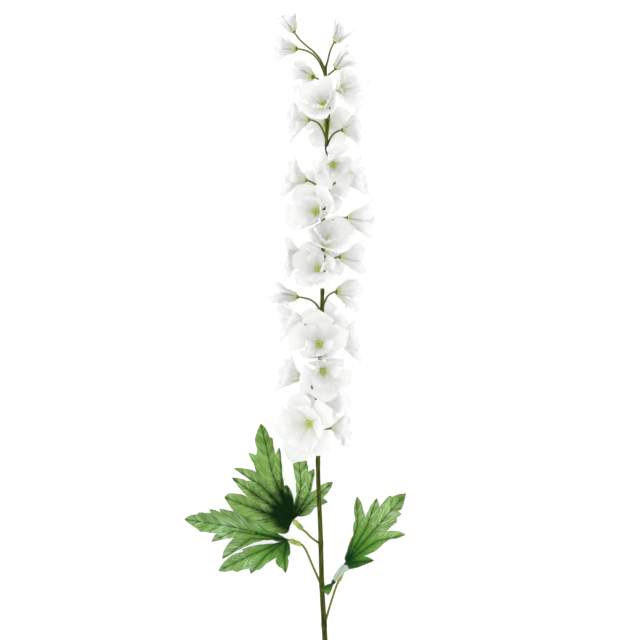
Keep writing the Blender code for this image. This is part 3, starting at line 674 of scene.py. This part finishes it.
class Shader:
    """Adds nodes to a material or a sky and joins them up; a colour is a tuple of three."""

    def __init__(self, made, surface="Principled BSDF"):
        made.use_nodes = True
        self.made = made
        self.tree = made.node_tree
        self.surface = self.tree.nodes[surface].inputs

    def put(self, socket, value):
        if isinstance(value, bpy.types.NodeSocket):
            self.tree.links.new(value, socket)
        else:
            socket.default_value = (*value, 1.0) if isinstance(value, tuple) else value

    def add(self, kind, values=(), output=0, **settings):
        """An output of a new node, whose sockets take the values by place or by name."""
        node = self.tree.nodes.new(kind)
        for name, value in settings.items():
            setattr(node, name, value)
        for key, value in values.items() if isinstance(values, dict) else enumerate(values):
            self.put(node.inputs[key], value)
        return node.outputs[output]

    def fix(self, **values):
        """Gives the surface's sockets a number, a colour or an output."""
        for name, value in values.items():
            self.put(self.surface[name.replace("_", " ")], value)

    def at(self, space="Object"):
        return self.add("ShaderNodeTexCoord", output=space)

    def split(self, vector):
        return self.add("ShaderNodeSeparateXYZ", [vector], slice(3))

    def join(self, *parts):
        return self.add("ShaderNodeCombineXYZ", parts)

    def math(self, operation, *values):
        return self.add("ShaderNodeMath", values, operation=operation)

    def plus(self, one, other):
        return self.math("ADD", one, other)

    def minus(self, one, other):
        return self.math("SUBTRACT", one, other)

    def times(self, one, other):
        return self.math("MULTIPLY", one, other)

    def noise(self, vector, scale, detail=3.0, rough=0.55):
        values = {"Vector": vector, "Scale": scale, "Detail": detail, "Roughness": rough}
        return self.add("ShaderNodeTexNoise", values, "Fac")

    def ramp(self, value, low, high, start=0.0, end=1.0, ease="SMOOTHSTEP"):
        """The value eased from low..high to start..end."""
        values = {"Value": value, "From Min": low, "From Max": high, "To Min": start, "To Max": end}
        return self.add("ShaderNodeMapRange", values, "Result", interpolation_type=ease)

    def mix(self, share, one, other):
        values = {MIX_SHARE: share, MIX_ONE: one, MIX_OTHER: other}
        return self.add("ShaderNodeMix", values, MIX_RESULT, data_type="RGBA")

    def weave(self, x, y, across, along, height):
        """Threads both ways, as many radians across and along as given."""
        warp = self.math("SINE", self.times(x, across))
        weft = self.math("SINE", self.times(y, along))
        return self.times(self.plus(warp, weft), height)

    def bump(self, height, distance, strength):
        values = {"Height": height, "Distance": distance, "Strength": strength}
        self.fix(Normal=self.add("ShaderNodeBump", values, "Normal"))

    def colour(self, value):
        self.fix(Base_Color=value)


def finish_of(name):
    return Shader(bpy.data.materials.new(name))


def petal_material():
    """Thin white cloth: green towards the heart, faint pleats fanning out with painted grey shade in their
    folds, a fine weave.
    """
    s = finish_of("petal_cloth")
    at = s.at()
    x, y, _ = s.split(s.at("UV"))
    wander = s.noise(at, 90.0, 2.0)
    fan = s.noise(s.join(s.times(x, 30.0), s.times(y, 2.0)), 1.0, 4.0, 0.6)
    blotch = s.noise(at, 30.0)
    heart = s.plus(y, s.times(s.minus(fan, 0.5), 0.22))
    white = s.mix(s.ramp(blotch, 0.32, 0.7), (0.955, 0.963, 0.965), (0.985, 0.987, 0.984))
    # Painted shade: greyer where the pleat noise is low, in the folds of the pleats
    streak = s.mix(s.ramp(fan, 0.34, 0.6, 0.5, 0.0), white, (0.89, 0.905, 0.91))
    tinted = s.mix(s.ramp(heart, 0.05, 0.5, 0.6, 0.0), streak, (0.92, 0.96, 0.62))
    s.colour(s.mix(s.ramp(heart, 0.0, 0.18, 0.8, 0.0), tinted, (0.78, 0.88, 0.26)))
    threads = s.weave(x, y, 300.0, 380.0, 0.08)
    s.bump(s.plus(s.times(fan, 1.8), s.plus(threads, s.times(wander, 0.5))), 0.0005, 0.6)
    s.fix(Roughness=s.ramp(wander, 0.3, 0.7, 0.55, 0.72))
    s.fix(Specular_IOR_Level=0.25, Sheen_Weight=0.15, Sheen_Roughness=0.45)
    s.fix(Subsurface_Weight=0.85, Subsurface_Radius=[1.0, 1.0, 1.0], Subsurface_Scale=0.003)
    return s.made


def eye_material():
    """Soft yellow-green plastic, olive in the middle."""
    s = finish_of("eye_plastic")
    at = s.at()
    _, y, _ = s.split(s.at("UV"))
    grain = s.noise(at, 900.0, 2.0)
    rim = s.mix(grain, (0.74, 0.83, 0.12), (0.90, 0.95, 0.36))
    s.colour(s.mix(s.ramp(y, 0.25, 0.8), rim, (0.34, 0.38, 0.03)))
    s.bump(grain, 0.0003, 0.6)
    s.fix(Roughness=0.5, Specular_IOR_Level=0.4, Subsurface_Weight=0.15, Subsurface_Scale=0.0012)
    return s.made


def stem_material():
    """Moulded plastic: olive on the stem, yellower along the stalks, faint long streaks."""
    s = finish_of("stem_plastic")
    at = s.at()
    _, tone, _ = s.split(s.at("UV"))
    x, y, z = s.split(at)
    streak = s.noise(s.join(s.times(x, 900.0), s.times(y, 45.0), s.times(z, 900.0)), 1.0, 4.0, 0.6)
    mottle = s.noise(at, 60.0)
    olive = s.mix(s.ramp(streak, 0.34, 0.64), (0.008, 0.016, 0.001), (0.088, 0.116, 0.008))
    aged = s.mix(s.ramp(mottle, 0.5, 0.75, 0.0, 0.4), olive, (0.085, 0.075, 0.018))
    lime = s.mix(streak, (0.12, 0.17, 0.012), (0.29, 0.34, 0.04))
    s.colour(s.mix(tone, aged, lime))
    s.bump(s.plus(streak, s.times(mottle, 0.7)), 0.0003, 0.7)
    s.fix(Roughness=s.ramp(mottle, 0.3, 0.7, 0.38, 0.55))
    s.fix(Specular_IOR_Level=0.06, Coat_Weight=0.01, Coat_Roughness=0.35)
    return s.made


def leaf_material(name, lit, dark, vein_and_sheen, edge, gloss, foot, half_shade_share=0.0):
    """Coated leaf cloth: painted shade from its foot out along the ribs and on one side of each rib,
    streaks painted as sheen and shade, and thin dark midribs.
    """
    s = finish_of(name)
    at = s.at()
    aside, along, rim = s.split(s.add("ShaderNodeAttribute", output="Vector", attribute_name="leaf"))
    half = s.add("ShaderNodeAttribute", output="Fac", attribute_name="half")
    blotch = s.noise(at, 42.0, 4.0)
    fine = s.noise(at, 420.0)
    patch = s.noise(at, 26.0, 2.0)
    fall = s.minus(along, s.times(aside, VEIN_SLOPE))
    phase = s.plus(s.math("DIVIDE", fall, VEIN_SPACING), s.minus(blotch, 0.5))
    away = s.math("ABSOLUTE", s.minus(s.math("FRACT", phase), 0.5))
    side_vein = s.times(s.ramp(away, 0.02, 0.16, 1.0, 0.0), s.ramp(aside, 0.5, 2.2))
    streak = s.noise(s.join(s.times(phase, 4.5), s.times(along, 0.05)), 1.0, 5.0, 0.68)
    off_rib = s.plus(along, s.times(aside, 1.9))
    uneven = s.plus(s.times(blotch, 44.0), s.times(streak, 30.0))
    # deep is small near the foot and close to the ribs, where the painted shade falls
    deep = s.plus(off_rib, s.minus(uneven, 37.0))
    fresh = s.mix(s.ramp(patch, 0.4, 0.6), lit, (0.9 * lit[0], 1.08 * lit[1], 0.5 * lit[2]))
    # Painted shade: darker on one side of each rib, as the half attribute gives it
    base = s.mix(s.times(half, 0.42), fresh, tuple(0.45 * c for c in lit))
    # Painted shade and sheen: darker where the streaks are low, paler in the vein colour where they are
    # high, away from the foot
    base = s.mix(s.ramp(streak, 0.37, 0.53, 0.92, 0.0), base, tuple(0.3 * c for c in lit))
    painted_sheen = s.times(s.ramp(streak, 0.45, 0.64), s.ramp(deep, 20.0, 60.0, 0.06, 1.0))
    base = s.mix(s.times(painted_sheen, s.ramp(patch, 0.38, 0.6, 0.3, 1.0)), base, vein_and_sheen)
    base = s.mix(s.times(side_vein, 0.22), base, vein_and_sheen)
    # Painted shade: a darker green ring round the foot, then the dark colour at the foot itself
    near = s.ramp(deep, foot[1] - 10.0, foot[1] + 30.0, half_shade_share, 0.0)
    base = s.mix(near, base, (0.4 * lit[0], 0.62 * lit[1], 0.3 * lit[2]))
    base = s.mix(s.ramp(deep, *foot, 1.0, 0.0), base, dark)
    base = s.mix(s.ramp(aside, 0.3, 2.4, 0.3, 0.0), base, dark)
    base = s.mix(s.ramp(aside, 0.15, 0.5, 0.8, 0.0), base, tuple(0.5 * c for c in dark))
    s.colour(s.mix(s.ramp(rim, 0.1, 1.1, 0.5, 0.0), base, edge))
    x, y, _ = s.split(at)
    threads = s.weave(x, y, 9000.0, 9000.0, 0.12)
    relief = s.plus(s.times(side_vein, 0.8), s.times(streak, 1.6))
    s.bump(s.plus(relief, s.plus(threads, s.times(fine, 0.4))), 0.0005, 0.8)
    s.fix(Roughness=s.ramp(fine, 0.3, 0.7, gloss, gloss + 0.14), Specular_IOR_Level=0.05)
    return s.made


def collar_material():
    """Glossier yellow-green plastic with a few rubbed spots."""
    s = finish_of("collar_plastic")
    at = s.at()
    rub = s.noise(at, 160.0, 4.0)
    s.colour(s.mix(s.ramp(rub, 0.35, 0.7), (0.26, 0.34, 0.035), (0.47, 0.55, 0.13)))
    s.bump(rub, 0.0003, 0.5)
    s.fix(Roughness=0.38, Specular_IOR_Level=0.5, Coat_Weight=0.1, Coat_Roughness=0.3)
    return s.made


def object_of(name, held_data):
    """A mesh, a lamp or a camera as an object of the scene."""
    made = bpy.data.objects.new(name, held_data)
    scene.collection.objects.link(made)
    return made


def mesh_of(name, work):
    mesh = bpy.data.meshes.new(name)
    work.to_mesh(mesh)
    work.free()
    return mesh


def add_piece(work, name, finishes, node=None):
    """The bmesh as a shaded piece that rides on the spray and stands for its node."""
    mesh = mesh_of(name, work)
    mesh.shade_smooth()
    mesh.set_sharp_from_angle(angle=math.radians(SHARP_ANGLE))
    for finish in finishes:
        mesh.materials.append(finish)
    piece = object_of(name, mesh)
    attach(piece, "root")
    if node:
        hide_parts(node)


def clothed(work, name, thickness, finishes, under=0):
    """The bmesh's face given its thickness, with the cloth's cut edge left crisp."""
    mesh = mesh_of(name, work)
    face = object_of(name, mesh)
    cloth = face.modifiers.new("Cloth", "SOLIDIFY")
    cloth.thickness = thickness * MM
    cloth.offset = 0.0
    cloth.use_even_offset = False
    cloth.material_offset = under
    for _ in finishes:
        mesh.materials.append(None)
    bpy.context.view_layer.update()
    solid = bpy.data.meshes.new_from_object(face.evaluated_get(bpy.context.evaluated_depsgraph_get()))
    bpy.data.objects.remove(face)
    found = bmesh.new()
    found.from_mesh(solid)
    for used in (mesh, solid):
        bpy.data.meshes.remove(used)
    return found


class Form:
    """A mesh being built, with a map that holds its tones or its cloth's directions."""

    def __init__(self, map_name):
        self.work = bmesh.new()
        self.map = self.work.loops.layers.uv.new(map_name)

    def spots(self, points):
        return [self.work.verts.new(p) for p in world(points)]

    def face(self, corners):
        """A face of the given spots, each with its place on the map."""
        for loop, place in zip(self.work.faces.new(list(corners)).loops, corners.values()):
            loop[self.map].uv = place

    def skin(self, rings, tones):
        """Faces from ring to ring, toned as their rings are; a ring of one spot closes to a point."""
        sides = max(len(ring) for ring in rings)
        for i in range(len(rings) - 1):
            for k in range(sides):
                corners = {}
                for ring, turn in ((i, k), (i, k + 1), (i + 1, k + 1), (i + 1, k)):
                    corners[rings[ring][turn % len(rings[ring])]] = (turn / sides, tones[ring])
                self.face(corners)

    def tube(self, points, radii, sides, tones):
        """A round bar along the points, capped at both ends."""
        runs = np.gradient(points, axis=0)
        side = unit(np.cross(runs[0], [0.31, 0.2, 0.93]))
        spin = np.linspace(0, math.tau, sides, endpoint=False)[:, None]
        rings = []
        for point, run, radius in zip(points, runs, radii):
            run = unit(run)
            side = unit(side - np.dot(side, run) * run)
            other = np.cross(run, side)
            rings.append(self.spots(point + radius * (np.cos(spin) * side + np.sin(spin) * other)))
        self.skin(rings, tones)
        self.face(dict.fromkeys(rings[0][::-1], (0.5, tones[0])))
        self.face(dict.fromkeys(rings[-1], (0.5, tones[-1])))

    def turned(self, profile, base, axis, sides):
        """A turned form from rows of radius, height and tone, from the foot up."""
        spin = np.linspace(0, math.tau, sides, endpoint=False)
        rings = []
        for radius, height, _ in profile:
            turns = spin if radius else spin[:1]
            local = [(radius * math.cos(turn), radius * math.sin(turn), height) for turn in turns]
            rings.append(self.spots(base + np.array(local) @ basis(axis)))
        self.skin(rings, [tone for _, _, tone in profile])


def basis(axis):
    """Three square directions, the last one along the axis."""
    side = unit(np.cross(axis, [0.3, 1.0, 0.2]))
    return np.array([side, np.cross(axis, side), axis])


def normals_of(petal, across, along):
    """The way out of the petal's smooth form at each of its points."""
    side = petal.surface(across + PROBE, along) - petal.surface(across - PROBE, along)
    ahead = petal.surface(across, np.minimum(along + PROBE, 1.0))
    found = np.cross(side, ahead - petal.surface(across, np.maximum(along - PROBE, 0.0)))
    return found / (norm(found, axis=2, keepdims=True) + 1e-9)


def fine_petal(head, layer, petal, draw):
    """The petal's grid of points with a ragged, ruffled and creased cloth face, clear of the walls."""
    rows = 1 - (1 - np.linspace(0, 1, PETAL_ALONG)) ** ROWS_SPREAD
    u, v = np.meshgrid(np.linspace(-1, 1, PETAL_ACROSS), rows)
    begins = draw.uniform(*TIP_CLOSES)
    close = clamp((v - begins) / (1 - begins))
    narrow = TIP_LEAST + (1 - TIP_LEAST) * (1 - close**2) ** draw.uniform(*TIP_ROUNDS)
    narrow = narrow * (1 - WAIST * bell((v - WAIST_AT) / WAIST_REACH))
    phases = [draw.uniform(0, math.tau) for _ in range(10)]
    left = RAGGED * np.sin(7 * v + phases[0]) + FRAYED * np.sin(19 * v + phases[1])
    right = RAGGED * np.sin(8 * v + phases[2]) + FRAYED * np.sin(17 * v + phases[3])
    ragged = 1 + np.where(u < 0, left, right) * clamp(4 * v - 0.8)
    reach = v * (0.97 + 0.03 * math.sin(phases[4]) - TIP_NOTCH * bell(u / 0.3) * v**8)
    across = u * narrow * ragged
    turns = draw.uniform(*RUFFLE_TURNS)
    side = np.where(u < 0, phases[5], phases[6])
    free = np.abs(u) ** 2.2 * v * np.clip(3.2 * (1 - v), 0.25, 1)
    fold = RUFFLE * draw.uniform(0.6, 1.4) * free * np.sin(math.tau * turns * v + side)
    fold += TIP_WAVE * v**4 * np.sin(2.2 * math.pi * u * narrow + phases[7])
    fold += draw.uniform(*CURL) * clamp(v - 0.5) ** 2 * 4
    fold -= CREASE * bell(u / CREASE_REACH) * np.sin(math.pi * clamp(v)) ** 0.7
    fold += PLEAT * np.sin(9.5 * u + phases[1]) * clamp(3 * v) * (1 - 0.6 * v)
    fold += BUCKLE * np.sin(2.4 * u + phases[8]) * np.sin(6.5 * v + phases[9]) * clamp(3 * v - 0.4)
    local = petal.surface(across, reach) + normals_of(petal, across, reach) * fold[..., None]
    placed = head.place(local.reshape(-1, 3))
    pressed = press(placed, head.walls, layer * LAYER_ROOM)
    hold = clamp(v.ravel() / ROOT_HELD)[:, None]
    return placed + hold * (pressed - placed), u.ravel(), v.ravel()


def add_layer(form, head, layer, draw):
    """One cut sheet: five fine petals and the flat middle that joins them."""
    roots = []
    for k, petal in enumerate(head.layers[layer]):
        points, u, v = fine_petal(head, layer, petal, draw)
        spots = form.spots(points)
        roots.append(spots[:PETAL_ACROSS])
        for row in range(PETAL_ALONG - 1):
            for column in range(PETAL_ACROSS - 1):
                a = row * PETAL_ACROSS + column
                ring = [a, a + 1, a + PETAL_ACROSS + 1, a + PETAL_ACROSS]
                form.face({spots[i]: (2 * (k + LAYER_PETALS * layer) + 0.5 * u[i], v[i]) for i in ring})
    middle = form.spots([head.hub + layer * INNER_LIFT * head.axis])[0]
    for spots in roots:
        for one, other in zip(spots, spots[1:]):
            form.work.faces.new([middle, other, one])


def make_petals(head, finish):
    draw = random.Random(PETAL_SEED + int(head.label))
    form = Form("cloth")
    for layer in range(2):
        add_layer(form, head, layer, draw)
    bmesh.ops.remove_doubles(form.work, verts=form.work.verts, dist=2e-5)
    bmesh.ops.dissolve_degenerate(form.work, edges=form.work.edges, dist=1e-6)
    name = "petals_" + head.label
    cloth = clothed(form.work, name, CLOTH, [finish])
    add_piece(cloth, name, [finish], "floret_" + head.label)


def make_eye(head, finish):
    """A bristly button: a low dome ringed with short blunt knobs, dark in its middle."""
    draw = random.Random(EYE_SEED + int(head.label))
    form = Form("tone")
    foot = INNER_LIFT + SHEET / 2 + EYE_CLEAR
    dome = [(wide * EYE_RADIUS, foot + tall * EYE_HEIGHT, tone) for wide, tall, tone in EYE_DOME]
    form.turned(dome, head.hub, head.axis, EYE_SIDES)
    one, other, up = basis(head.axis)
    for ring, (count, reach, tall) in enumerate(BRISTLES):
        for k in range(count):
            spin = math.tau * (k + draw.uniform(-0.2, 0.2)) / count + ring
            out = math.cos(spin) * one + math.sin(spin) * other
            start = head.hub + reach * EYE_RADIUS * out + (foot + BRISTLE_FOOT * EYE_HEIGHT) * up
            rise = (tall * draw.uniform(0.85, 1.0) - BRISTLE_FOOT) * EYE_HEIGHT
            knob = start + np.linspace(0, 1, 5)[:, None] * (rise * up + BRISTLE_LEAN * out)
            form.tube(knob, BRISTLE_RADII, SMALL_SIDES, BRISTLE_TONES)
    node = "eye_" + head.label if head.row.eye else None
    add_piece(form.work, "bristle_eye_" + head.label, [finish], node)


def add_main_stem(form):
    """The main stem, a little swollen at each joint."""
    draw = random.Random(STEM_SEED)
    line = smooth_line(STEM_LINE, STEM_STEPS)
    roots = [head.row.height - head.row.drop for head in heads]
    roots = np.array(roots + [leaf.stalk[0][1] for leaf in LEAVES])
    radii = []
    for _, height, _ in line:
        joint = min(bell((height - roots - 1.0) / JOINT_REACH).sum(), 1.0)
        radii.append(stem_radius(height) * (0.97 + JOINT_SWELLS * joint) + draw.uniform(-0.02, 0.02))
    form.tube(line, radii, STEM_SIDES, np.zeros(len(line)))


def add_stalk(form, head):
    """A flower stalk with the cup at its end and the sepals round that."""
    neck = head.stalk[-1] - CUP_DEPTH * head.axis
    cup = head.stalk[-1] + 0.1 * head.axis
    route = smooth_line([*head.stalk[:-1], neck - 0.8 * head.axis, neck], STALK_STEPS)
    t = np.linspace(0, 1, len(route))
    thick = STALK_RADIUS * (1.0 + STALK_SWELLS * np.exp(-t / 0.06) - 0.06 * t)
    points = np.vstack([route, neck + np.array(CUP_RISE)[:, None] * (cup - neck)])
    form.tube(points, [*thick, *CUP_FLARE], STALK_SIDES, [*(0.25 + 0.6 * t), *CUP_TONES])
    base = neck + SEPAL_FOOT * head.axis
    for k in range(SEPALS):
        spin = math.radians(head.row.turn + (k + 0.5) * 360 / SEPALS)
        out = math.cos(spin) * head.frame[0] + math.sin(spin) * head.frame[1]
        line = smooth_line([base + wide * out + rise * head.axis for wide, rise in SEPAL_LINE], 4)
        form.tube(line, SEPAL_RADII, SMALL_SIDES, [CUP_TONES[0]] * len(line))


def add_petiole(form, blade):
    """A leaf's stalk, from the stem into the collar's mouth."""
    mouth = blade.collar - (COLLAR_LENGTH / 2 - SOCKET_DEPTH + GAP) * blade.inward
    outside = blade.collar - (COLLAR_LENGTH / 2 + PETIOLE_LEAD) * blade.inward
    route = [stem_at(blade.row.stalk[0][1]), *map(np.array, blade.row.stalk[1:]), outside]
    points = np.vstack([smooth_line(route, PETIOLE_STEPS), mouth])
    t = np.linspace(0, 1, len(points))
    radii = PETIOLE_RADIUS * (1 + PETIOLE_SWELLS * np.exp(-t / 0.07))
    form.tube(points, radii, PETIOLE_SIDES, 0.6 + 0.4 * t)


def make_stem(finish):
    """The main stem, its flower stalks with their cups and the leaf stalks, as one moulded piece."""
    form = Form("tone")
    add_main_stem(form)
    for head in heads:
        add_stalk(form, head)
    for blade in blades:
        add_petiole(form, blade)
    add_piece(form.work, "moulded_stem", [finish], "stem")


def fine_outline(blade):
    """The leaf's edge with fuller curves between its corners and small uneven teeth."""
    draw = random.Random(blade.row.name)
    corners = [np.array(p, float) for p in (blade.row.base[:2], *blade.row.edge)]
    found = []
    for here, beyond in zip(corners, corners[1:] + corners[:1]):
        run = beyond - here
        length = norm(run)
        count = max(2, int(length / LEAF_STEP))
        out = unit(np.array([-run[1], run[0]]))
        for k in range(count):
            t = k / count
            bulge = EDGE_BULGE * length * math.sin(math.pi * t)
            nick = draw.uniform(-EDGE_NICK, EDGE_NICK) if k else 0.0
            found.append(here + t * run + (bulge + nick) * out)
    return found


def fine_cut(blade):
    """Plan points and triangles of the blade: edge, ribs and an even fill."""
    edge = fine_outline(blade)
    spots = list(edge)
    lines = ring_lines(edge)
    for knee, tip in blade.ribs:
        rib = []
        for start, end, stop in ((blade.foot, knee, 1.0), (knee, tip, RIB_END)):
            count = max(2, int(norm(end - start) / LEAF_STEP))
            rib += [start + t * (end - start) for t in np.linspace(0, stop, count)[1:]]
        first = len(spots)
        lines += [(first + k, first + k + 1) for k in range(len(rib) - 1)]
        spots += rib
    ring = np.array(edge)
    low, high = ring.min(axis=0), ring.max(axis=0)
    fill = []
    for k, y in enumerate(np.arange(low[1], high[1], LEAF_STEP * ROW_STEP)):
        fill += [(x, y) for x in np.arange(low[0] + (k % 2) * LEAF_STEP / 2, high[0], LEAF_STEP)]
    fill = np.array(fill)
    clear = norm(fill[:, None] - ring, axis=2).min(axis=1) > 0.7 * LEAF_STEP
    spots += list(fill[clear & (rib_places(blade, fill)[0] > 0.5 * LEAF_STEP)])
    return *triangulated(spots, lines), ring


def along_line(plan, start, run):
    """How far along a run each plan point lies, from 0 to 1, and how far off it."""
    t = clamp((plan - start) @ run / (run @ run + 1e-9))
    return t, norm(plan - start - t[:, None] * run, axis=1)


def rib_places(blade, plan):
    """Each plan point's distance from its nearest rib, its way along, its lobe and its side of it."""
    best, along, which, half = [np.full(len(plan), value) for value in (1e9, 0.0, 0, 0.0)]
    for number, (knee, tip) in enumerate(blade.ribs):
        passed = 0.0
        for start, end in ((blade.foot, knee), (knee, tip)):
            run = end - start
            length = norm(run)
            t, far = along_line(plan, start, run)
            nearer = far < best
            across = (run[0] * (plan - start)[:, 1] - run[1] * (plan - start)[:, 0]) / length
            best = np.where(nearer, far, best)
            along = np.where(nearer, passed + t * length, along)
            which = np.where(nearer, number, which)
            half = np.where(nearer, clamp(0.5 - across / 1.6), half)
            passed += length
    return best, along, which, half


def edge_distance(plan, ring):
    runs = np.roll(ring, -1, axis=0) - ring
    return np.min([along_line(plan, start, run)[1] for start, run in zip(ring, runs)], axis=0)


def make_leaf(blade, finishes):
    """The cut blade with pressed veins and a waved rim."""
    plan, triangles, ring = fine_cut(blade)
    aside, along, which, half = rib_places(blade, plan)
    rim = edge_distance(plan, ring)
    relief = CAMBER * aside * clamp(along / 25) - RIB_DENT * bell(aside / 1.2)
    phase = (along - VEIN_SLOPE * aside) / VEIN_SPACING
    relief += PUCKER * np.cos(math.tau * phase) * clamp(aside / 5) * clamp(rim / 3)
    wave = np.sin(along / 6.5 + 2.1 * which) * clamp(along / 40)
    relief += RIM_WAVE * clamp(1 - rim / RIM_REACH) * wave
    points = np.column_stack([plan, blade.heights(plan) + relief])
    points = press(points, blade.walls, (LEAF_SHEET - SHEET) / 2)
    folded = which == FOLDED_LOBE.get(blade.row.name, -1)
    pale = np.isin(which, PALE_LOBES.get(blade.row.name, ()))
    # Painted shade: the foot shade starts again past the strip with the underside's colour, and starts
    # further out on the pale lobes
    dim = np.where(folded & (along > FOLD_END), along - FOLD_END + FOLD_DIM, along)
    dim = dim + PALE_SHIFT * pale * clamp(along / 8)
    turned_over = folded & (along > FOLD_START) & (along < FOLD_END)
    work = bmesh.new()
    facts = work.verts.layers.float_vector.new("leaf")
    # The side of each point's rib, which the leaf's finish paints darker as shade
    painted_shade_sides = work.verts.layers.float.new("half")
    spots = []
    for point, side, *fact in zip(world(points), half, aside, dim, rim):
        spot = work.verts.new(point)
        spot[facts] = Vector(fact)
        spot[painted_shade_sides] = side
        spots.append(spot)
    for corner in triangles:
        face = work.faces.new([spots[i] for i in corner])
        face.normal_update()
        if face.normal.z < 0:
            face.normal_flip()
        face.material_index = int(turned_over[corner[0]])
    name = "leaf_cloth_" + blade.row.name
    cloth = clothed(work, name, LEAF_CLOTH, finishes, 1)
    add_piece(cloth, name, finishes, "leaf_" + blade.row.name)


def make_ribs(blade, finish):
    """The moulded ribs under the blade; the longest lobe's begins as the peg in the collar."""
    form = Form("tone")
    begin = blade.collar + (COLLAR_LENGTH / 2 - SOCKET_DEPTH + GAP) * blade.inward
    lengths = [norm(tip - blade.foot) for _, tip in blade.ribs]
    for length, (knee, tip) in zip(lengths, blade.ribs):
        longest = length == max(lengths)
        first = blade.foot + np.linspace(0.0, 1.0, 9)[:, None] * (knee - blade.foot)
        plan = np.vstack([first, knee + np.linspace(0.12, 0.6, 5)[:, None] * (tip - knee)])
        points = blade.surface(plan)
        radii = np.linspace(0.9 * RIB_RADIUS if longest else SIDE_RIB, RIB_LEAST, len(plan))
        radii = np.minimum(radii, 0.5 * (points[:, 2] - RIB_FLOOR))
        if radii.min() < RIB_THIN:
            points, radii = [rows[: int(np.argmax(radii < RIB_THIN))] for rows in (points, radii)]
        points[:, 2] -= RIB_DROP + radii
        if longest:
            points = np.vstack([begin, 0.4 * begin + 0.6 * points[0], points])
            radii = [RIB_RADIUS, RIB_RADIUS, *radii]
        if len(points) > 2:
            form.tube(points, radii, RIB_SIDES, np.linspace(0.9, 0.4, len(points)))
    add_piece(form.work, "leaf_rib_" + blade.row.name, [finish])


def make_collar(blade, finish):
    """A ferrule with rounded lips and two pressed rings."""
    form = Form("tone")
    half = COLLAR_LENGTH / 2
    end = [(0.0, half - SOCKET_DEPTH), (SOCKET_RADIUS, half - SOCKET_DEPTH), (SOCKET_RADIUS, half)]
    end += [(wide * COLLAR_RADIUS, half - back) for wide, back in COLLAR_LIP]
    rings = [(wide * COLLAR_RADIUS, height) for wide, height in COLLAR_RINGS]
    profile = [(radius, -height) for radius, height in end] + rings + end[::-1]
    profile = [(radius, height, 0.5) for radius, height in profile]
    form.turned(profile, blade.collar, blade.inward, COLLAR_SIDES)
    add_piece(form.work, "ferrule_" + blade.row.name, [finish], "collar_" + blade.row.name)


petal_finish = petal_material()
eye_finish = eye_material()
stem_finish = stem_material()
# Leaf colours: lit green, dark and deep as painted shade at the foot and along the ribs and as the thin
# midribs' colour, rim as the edge's tint; the pale vein colour is also the painted sheen
lit, dark, rim = (0.200, 0.420, 0.062), (0.002, 0.022, 0.002), (0.19, 0.16, 0.12)
deep = (0.006, 0.060, 0.010)
tops = {
    "upper_left": leaf_material("leaf_top", lit, dark, (0.56, 0.78, 0.38), rim, 0.42, (26.0, 61.0)),
    "lower_left": leaf_material("leaf_top_low", lit, deep, (0.62, 0.84, 0.56), rim, 0.42, (2.0, 30.0), 0.6),
    "right": leaf_material("leaf_top_right", lit, deep, (0.66, 0.84, 0.50), rim, 0.42, (6.0, 36.0), 0.8),
}
# The underside's colours, with the same painted shade and sheen
lit, dark, rim = (0.58, 0.69, 0.59), (0.50, 0.61, 0.51), (0.40, 0.44, 0.37)
under = leaf_material("leaf_under", lit, dark, (0.84, 0.90, 0.84), rim, 0.6, (20.0, 54.0))
collar_finish = collar_material()
for head in heads:
    make_petals(head, petal_finish)
    make_eye(head, eye_finish)
make_stem(stem_finish)
for blade in blades:
    top = tops[blade.row.name]
    make_leaf(blade, [top, under, top])
    make_ribs(blade, stem_finish)
    make_collar(blade, collar_finish)


def light(name, place, turn, size, power):
    lamp = bpy.data.lights.new(name, "AREA")
    lamp.shape = "RECTANGLE"
    lamp.size, lamp.size_y = size
    lamp.energy = power
    made = object_of(name, lamp)
    made.location = place
    made.rotation_euler = [math.radians(a) for a in turn]


# The floor, the light and the camera straight above, where one pixel is one millimetre
CENTRE = world((-2.0, 420.0, 35.0))
CAMERA_HEIGHT = 4.0
VIEW_WIDTH = 0.64
LENS_SENSOR = 36.0
FAR_END = 50.0
FLOOR_HALF = 6.0
FLOOR_DROP = 0.0005
SIDE_LIGHT = 1.38
TOP_LIGHT = 0.86

work = bmesh.new()
bmesh.ops.create_grid(work, x_segments=1, y_segments=1, size=FLOOR_HALF)
ground = mesh_of("floor", work)
floor = object_of("floor", ground)
floor.location.z = -FLOOR_DROP
s = finish_of("floor_white")
s.colour(s.mix(s.noise(s.at(), 3.0), (0.57, 0.57, 0.57), (0.59, 0.59, 0.59)))
s.fix(Roughness=0.9, Specular_IOR_Level=0.1, Emission_Color=(1.0, 1.0, 1.0), Emission_Strength=0.6)
ground.materials.append(s.made)

sky = Shader(bpy.data.worlds.new("studio"), "Background")
scene.world = sky.made
_, _, height = sky.split(sky.at("Generated"))
sky.fix(Color=(1.0, 1.0, 1.0), Strength=sky.ramp(height, 0.0, 1.0, SIDE_LIGHT, TOP_LIGHT, "LINEAR"))
light("key", (-1.3, 1.0, 1.9), (-26, -32, 0), (1.2, 1.2), 5.0)
light("fill", (1.6, -0.8, 1.6), (26, 42, 0), (1.6, 1.6), 3.0)
scene.view_settings.view_transform = "Standard"

camera = bpy.data.cameras.new("camera")
camera.sensor_width = LENS_SENSOR
camera.lens = LENS_SENSOR * (CAMERA_HEIGHT - CENTRE[2]) / VIEW_WIDTH
camera.clip_end = FAR_END
viewer = object_of("camera", camera)
viewer.location = (CENTRE[0], CENTRE[1], CAMERA_HEIGHT)
scene.camera = viewer
